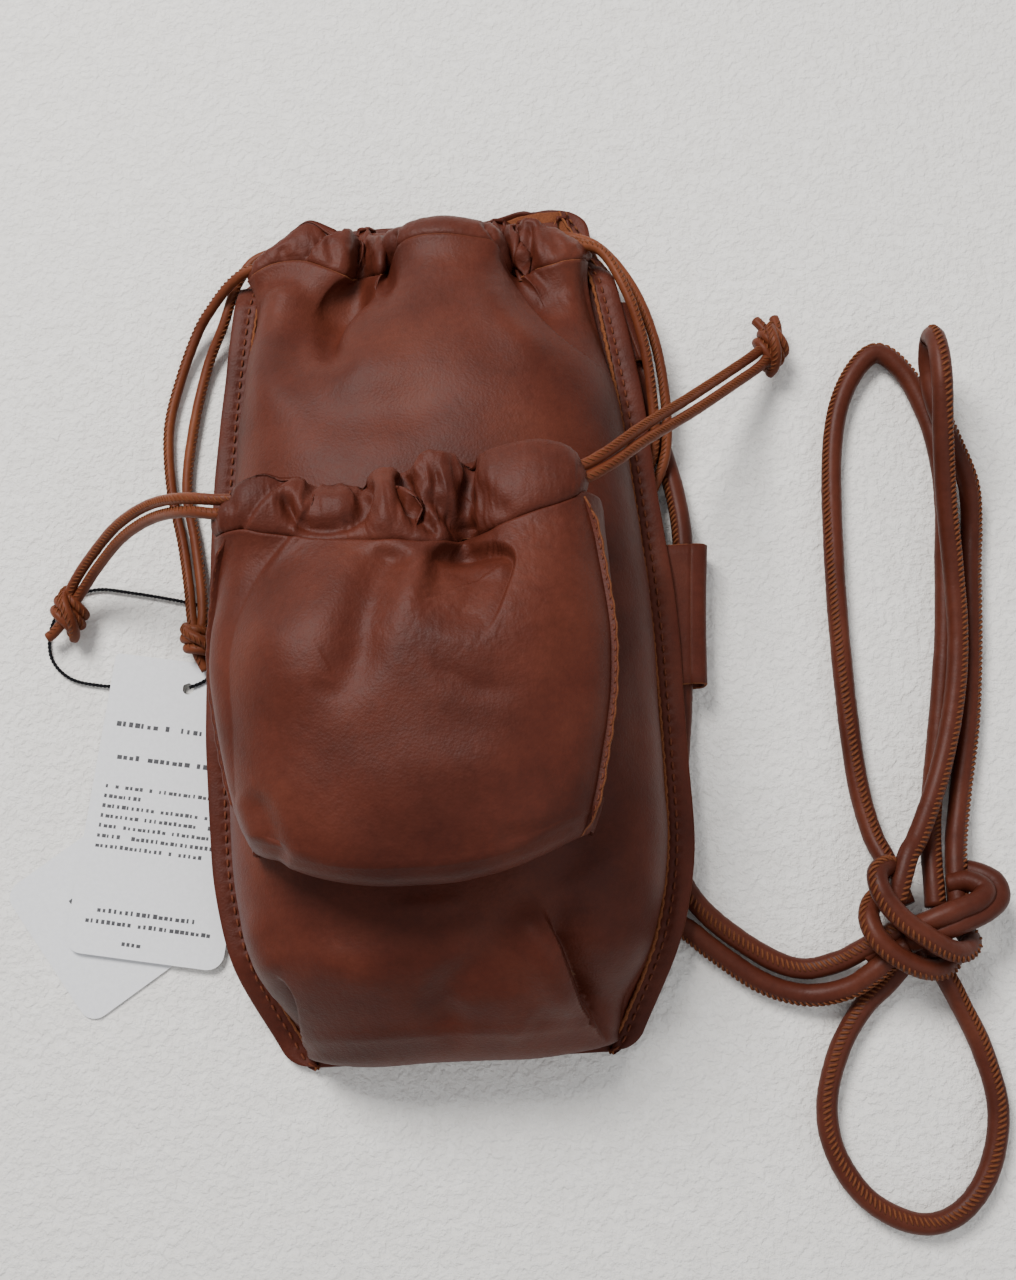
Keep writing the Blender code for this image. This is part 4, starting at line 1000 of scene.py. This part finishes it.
# the corner of the back panel that stands up past the mouth: (y, x) of its edge, and its folded
# inner face between two lines
CORNER_EDGE = ((109, 57.6), (112, 56), (114, 54.6), (120.2, 52.9), (125, 52.2), (128, 50.6),
               (130.2, 47.6), (131, 44))
CORNER_SEAM = ((43.6, 130), (45, 126.6), (47.8, 121.6), (50.6, 115.6), (54, 110), (56, 106))
CORNER_FOLD = ((27, 128.4), (29, 126), (33, 120), (38, 114), (43, 108), (46, 104))


def corner_rise(y):
    return 5.4 * smoothstep((y - 108) / 16)


def add_back():
    y = np.concatenate([np.linspace(BACK_END, 108, 110), np.linspace(109, 131, 40)])
    t = np.linspace(-1, 1, 81)
    rows = []
    for here in y:
        width = float(back_half_width(here)) - 0.5
        right = width if here < 109 else float(table(CORNER_EDGE, here))
        left = -width + 18 * float(smoothstep((here - 108) / 20))
        x = (left + right) / 2 + (right - left) / 2 * t
        z = back_top(here) + corner_rise(here) * smoothstep((t - 0.35) / 0.4)
        z = z + 0.35 * wave_noise(x, here, 16, 9, 2) * smoothstep((here - 100) / 20)
        rows.append(stack(x, here, z))
    leather_sheet("pouch_back", np.array(rows), SEWN_EDGE_THICKNESS, ["back_panel"], BODY_LEATHER)
    seam = even_curve(CORNER_SEAM, 0.5)
    inner = read_at(even_curve(CORNER_FOLD, 0.5), np.linspace(0, 1, len(seam)))
    s = np.linspace(0, 1, 24)
    rows = []
    for a, b in zip(inner, seam):
        x = a[0] + (b[0] - a[0]) * s
        here = a[1] + (b[1] - a[1]) * s + 0.8 * np.sin(s * math.pi)
        z = back_top(here) + corner_rise(here) + 0.9 - 0.8 * (1 - s) ** 3
        rows.append(stack(x, here, z + 0.3 * wave_noise(x * 1.5, here, 7, 19, 2)))
    thick_grid("back_corner_inner_face", np.array(rows)[::-1], 0.5, [SUEDE, RAW_EDGE])
    height = back_top(seam[:, 1]) + corner_rise(seam[:, 1]) + 1.3
    route = np.column_stack([seam, height])
    add_raw_edge("back_corner", route[::2], 0.42)
    add_stitches("back_corner", route + (1.9, 0.7, -0.5), UP, 3, 2, 0.32, 0.2, SEAM_THREAD)


def add_back_casing():
    """The casing on the back of the mouth, gathered too."""
    x = np.linspace(-38, 44, 241)
    pleats = np.sin(x * 0.62) * 2.2 + np.sin(x * 0.27 + 1) * 1.6
    sway = np.cos(x * 0.62)
    seam = stack(x + 1.4 * sway, 113 + 0.4 * pleats, 9.4 + 0.5 * np.abs(pleats))
    top = stack(x + 1.8 * sway, 127.4 + 0.3 * pleats, 7.6 + 0.5 * np.abs(pleats))
    leather_sheet("main_casing_behind", casing_grid(seam, top, 2.4, 3.2), 0.5, ["main_casing_back"])


# ---- the pocket --------------------------------------------------------------------------
POCKET_COLUMNS = 361
POCKET_ROWS = 150
POCKET_LOWER_END = ((-73, 1), (-79.6, 6), (-82.8, 15), (-82, 22), (-78.6, 26))
POCKET_HALF_WIDTH = ((-86, 30), (-80, 38), (-75, 42), (-70, 45.2), (-62, 48.3), (-52, 50.8), (-36, 53.4),
    (-16, 54.8), (5, 55.2), (20, 54.6))
POCKET_DEPTH = ((-86, 23), (-72, 27.5), (-55, 29.5), (-30, 30.5), (-8, 30), (8, 27.5), (20, 25))
POCKET_FOLDS = (
    (((0, 6.5), (10, 5.2), (17.3, 4.1), (22.4, 1.9), (23.6, -2), (21.6, -9), (18, -18), (12, -27)), -5,
     11, (0.12, 0.75), -1),
    (((-6, 6), (-12, -4), (-15.5, -16), (-17, -26), (-22, -33), (-30, -33)), -3.2, 6, (0.1, 0.4)),
    (((14, 0), (10, -12), (6, -24)), -1.8, 8, (0.2, 0.4)),
    (((6, 3), (8, -8), (4, -20)), 1.2, 3.4, (0.2, 0.5)),
    (((-2, 3), (-3, -10), (-8, -20)), 0.9, 4, (0.2, 0.5)),
    (((-31, -31), (-25, -34.4), (-18, -35.4)), -0.35, 2.2, (0.4, 0.5)),
    (((0, -26), (6, -32.6), (15.3, -36.6), (27, -37)), -0.7, 3, (0.3, 0.5)),
    (((-40, -6), (-34, -26), (-36, -44)), 1.6, 10, (0.4, 0.4)),
    (((-30, -48), (-8, -56), (16, -54), (32, -46)), 1.1, 9, (0.4, 0.4)),
    (((-48, -56.1), (-43.5, -64.1), (-41.3, -71.2), (-38, -77)), -1.6, 3.4, (0.3, 0.2)),
    (((-52, -56), (-49, -64), (-46, -71)), 0.8, 2.4, (0.3, 0.2)),
    (((14, -72.5), (19.4, -72.9), (27.2, -72.3), (37, -68.7)), -0.9, 2.8, (0.3, 0.2)),
    (((46, -4), (44, -30), (40, -54)), 0.9, 5, (0.4, 0.4)),
)


def pocket_base(x, y):
    return front_height(np.clip(x, -52, 52), y) + 0.5


def pocket_front_grid():
    shares = np.linspace(0, 1, POCKET_COLUMNS)
    arch_x, arch_z = arch_shares(5, 0.5, shares)
    rim = read_at(smooth_curve(POCKET_RIM, 16), shares)
    round_off = 11.5 * np.abs(arch_x) ** 3
    rows = []
    for y, height in smooth_curve(POCKET_LOWER_END, 8):
        row_y = y + round_off
        x = POCKET_X + arch_x * table(POCKET_HALF_WIDTH, row_y)
        rows.append(stack(x, row_y, pocket_base(x, row_y) + arch_z * height))
    for t in np.linspace(0.015, 1, POCKET_ROWS):
        y = -78 + t * 86
        row_y = y + round_off * (1 - smoothstep(t / 0.5)) + (rim[:, 1] - 8) * smoothstep((y + 20) / 28)
        x = POCKET_X + arch_x * table(POCKET_HALF_WIDTH, row_y)
        z = pocket_base(x, row_y) + arch_z * table(POCKET_DEPTH, row_y)
        rows.append(eased(x, row_y, z, rim, np.clip((y + 26) / 34, 0, 1) ** 2.2))
    grid = np.array(rows)
    near = np.exp(-((grid[..., 0] - 6) / 24) ** 2) * smoothstep((grid[..., 1] + 42) / 30)
    fine = 0.3 + near + 0.8 * smoothstep(grid[..., 1] / 8)
    shift = folded(grid, POCKET_FOLDS) + 0.3 * noise_on(grid, 34, 21, 2)
    shift += 0.07 * fine * noise_on(grid, 5, 23, 3, (1, 0.8))
    shift += 0.04 * fine * noise_on(grid, 2.2, 24, 2)
    return settled(grid, shift, shares, 0.06, 7)


def add_pocket_edge(name, grid, column, side, first):
    """The raised seam down one side of the pocket's front, from this row of its grid up."""
    normals = grid_normals(grid)[first:-1, column]
    base = smooth_along(grid[first:-1, column], 8)
    out = unit(smooth_along(normals, 8) + (0.9 * side, 0, 0))
    s = lengths_along(base)
    ends = smoothstep(np.minimum((s + 0.4) / 12, (s[-1] - s + 0.4) / 7))
    rows = []
    for t in np.linspace(0, 1, 7):
        height = (-0.4 + 1.9 * t) * ends
        rows.append(base + out * (height + 0.14 * np.sin(s * 1.1) * t)[:, None])
    sheet = np.array(rows).transpose(1, 0, 2)[:, ::side]
    leather_sheet(name + "_leather", sheet, 1.2, [name], RAW_EDGE if side > 0 else BODY_LEATHER)
    path = base + out + np.cross(out, unit(np.gradient(base, axis=0))) * 0.15
    add_stitches(name, path[12:], normals[12:], 2.8, 1.6, 0.2, 0.2, DARK_THREAD)


def add_pocket():
    seam, top = gather_lines(POCKET_SEAM, POCKET_TOP, POCKET_COLUMNS)
    grid = pocket_front_grid()
    leather_sheet("pocket_leather", grid, POCKET_THICKNESS, ["pocket_front", "pocket_back"],
                  BODY_LEATHER)
    add_pocket_edge("pocket_seam_right", grid, int(POCKET_COLUMNS * 0.862), 1, 18)
    add_pocket_edge("pocket_seam_left", grid, int(POCKET_COLUMNS * 0.06), -1, 34)
    casing = wrinkled_casing(seam, top, 2.0, 2.6, POCKET_CASING_FOLDS, 31)
    leather_sheet("pocket_casing", casing, CASING_THICKNESS,
                  ["pocket_casing_front", "pocket_casing_back"])


# ---- keepers and tabs --------------------------------------------------------------------
def add_keeper(name, half_width_x, start, end):
    """A leather loop around the strap, with its seam underneath."""
    start = np.array([*start, STRAP_IN_KEEPER])
    way = np.array([*end, STRAP_IN_KEEPER]) - start
    x, z = superellipse(np.linspace(0.4 * math.pi, -1.6 * math.pi, 60, endpoint=False), 5)
    rows = []
    for t in np.linspace(0, 1, 15):
        pinch = 1 - 0.04 * math.sin(math.pi * t)
        rows.append(stack(x * half_width_x * pinch, 0, z * KEEPER_HALF_HEIGHT) + (start + way * t))
    grid = np.array(rows)[:, ::-1]
    leather_sheet(name + "_leather", np.concatenate([grid, grid[:, :1]], axis=1), 1.1, [name])


def add_keepers():
    add_keeper("right_keeper", 9.2, (68.5, -25.5), (71.8, 17))
    add_keeper("left_keeper", 9.2, (-57, -25.5), (-57, 17))
    add_keeper("right_strap_tab", 5.6, (62.6, 77), (57.4, 96))
    add_keeper("left_strap_tab", 5.6, (-57.6, 77), (-54.4, 96))


# ---- hang tags ---------------------------------------------------------------------------
# a tag's corners, from its hole: centre, radius and quarter turn
TAG_CORNERS = ((22.5, 6.8, 1.5, 0), (-22.5, 6.8, 1.5, 1), (-19, -77.7, 5, 2), (19, -77.7, 5, 3))
# each tag's hole, turn in degrees and body, and its lines of print: from x to x, y and size
TAGS = (
    ("hang_tag_upper", (-79.2, -16.6, 1.8), -10.5, "upper_tag",
     ((-20, -4, -14, 1.9), (0, 14, -14, 1.9), (-20, 15, -24, 1.9), (-20, 16, -33, 1.5),
      (-20, -8, -36, 1.5), (-20, 15, -39, 1.5), (-20, 14, -42, 1.5), (-20, 16, -45, 1.5),
      (-20, 15, -48, 1.5), (-20, 12, -51, 1.5), (-16, 14, -70, 1.7), (-19, 18, -73.4, 1.6),
      (-7, -1, -79, 1.5))),
    ("hang_tag_lower", (-54, -50.5, 0.1), -57, "lower_tag",
     ((-10, 10, -46, 1.6), (-8, 12, -52, 1.6), (-14, 6, -62, 1.6), (-12, 10, -68, 1.6))),
)
BOX_FACES = ((4, 5, 6, 7), (3, 2, 1, 0), (0, 1, 5, 4), (1, 2, 6, 5), (2, 3, 7, 6), (3, 0, 4, 7))


def on_tag(hole, turn, x, y, height):
    """Points of a tag: x and y on the tag from its hole, and the height above its underside."""
    c, s = math.cos(math.radians(turn)), math.sin(math.radians(turn))
    return stack(x * c - y * s + hole[0], x * s + y * c + hole[1], hole[2] + height)


def add_print(name, hole, turn, body, lines):
    """Plain grey dashes where a tag has its lines of print, with no letters."""
    rng = np.random.default_rng(len(lines))
    points = []
    faces = []
    for start, end, y, size in lines:
        x = start
        while x < end:
            wide = size * rng.uniform(0.35, 0.85)
            if rng.random() < 0.9:
                tall = size * rng.uniform(0.6, 0.85)
                faces += [tuple(len(points) + k for k in face) for face in BOX_FACES]
                for layer in (TAG_THICKNESS + 0.01, TAG_THICKNESS + 0.04):
                    for px, py in ((x, y), (x + wide, y), (x + wide, y + tall), (x, y + tall)):
                        points.append(on_tag(hole, turn, px, py, layer))
            x += size
    make_piece(name + "_print", points, faces, [PRINT], body, smooth=False)


def add_tag(name, hole, turn, body):
    """A plain card with a round hole for its string."""
    outline = []
    for x, y, radius, quarter in TAG_CORNERS:
        for k in range(9):
            angle = (quarter + k / 8) * math.pi / 2
            outline.append((x + radius * math.cos(angle), y + radius * math.sin(angle)))
    outline = np.array(outline)
    ring = np.array([a + (b - a) * k / 4 for a, b in zip(outline, np.roll(outline, -1, axis=0))
                     for k in range(4)])
    hole_ring = ring / np.linalg.norm(ring, axis=1, keepdims=True) * TAG_HOLE_RADIUS
    points = [on_tag(hole, turn, *flat.T, z) for z in (0, TAG_THICKNESS)
              for flat in (ring, (ring + hole_ring) / 2, hole_ring)]
    count = len(ring)
    faces = []
    for k in range(count):
        n = (k + 1) % count
        for a in (0, count):
            faces.append((a + k, a + count + k, a + count + n, a + n))
            b = 3 * count + a
            faces.append((b + k, b + n, b + count + n, b + count + k))
        faces.append((k, n, 3 * count + n, 3 * count + k))
        faces.append((2 * count + n, 2 * count + k, 5 * count + k, 5 * count + n))
    make_piece(name + "_card", np.vstack(points), faces, [CARD], body, [name], "tag_card", smooth=False)


# ---- stage -------------------------------------------------------------------------------
WORLD_STRENGTH = 0.56
KEY_POWER = 31
FILL_POWER = 5


def add_floor():
    bpy.ops.mesh.primitive_plane_add(size=6, location=(0, 0, -0.0004))
    floor = bpy.context.object
    floor.name = "floor"
    floor.data.materials.append(plaster_material())


def add_light(name, location, aim, size, power, colour=(1, 1, 1)):
    data = bpy.data.lights.new(name, "AREA")
    data.shape = "DISK"
    data.size = size
    data.energy = power
    data.color = colour
    light = bpy.data.objects.new(name, data)
    bpy.context.scene.collection.objects.link(light)
    light.location = location
    light.rotation_euler = (Vector(aim) - Vector(location)).to_track_quat("-Z", "Y").to_euler()


def add_lights():
    world = bpy.data.worlds.new("studio")
    world.use_nodes = True
    background = world.node_tree.nodes["Background"]
    background.inputs["Color"].default_value = (0.95, 0.97, 1.0, 1)
    background.inputs["Strength"].default_value = WORLD_STRENGTH
    bpy.context.scene.world = world
    add_light("key", (-0.45, 0.75, 1.15), (0, 0, 0), 0.6, KEY_POWER, (1, 0.985, 0.965))
    add_light("fill", (0.9, -0.7, 1.2), (0, 0, 0), 1.4, FILL_POWER, (0.96, 0.98, 1))


def main():
    add_camera()
    add_strap()
    add_drawstrings()
    add_tag_string()
    add_body(add_main_gather())
    add_binding("left_side_binding", -1)
    add_binding("right_side_binding", 1)
    add_back()
    add_back_casing()
    add_pocket()
    add_keepers()
    for name, hole, turn, body, _ in TAGS:
        add_tag(name, hole, turn, body)
    for name, hole, turn, body, lines in TAGS:
        add_print(name, hole, turn, body, lines)
    add_floor()
    add_lights()


main()
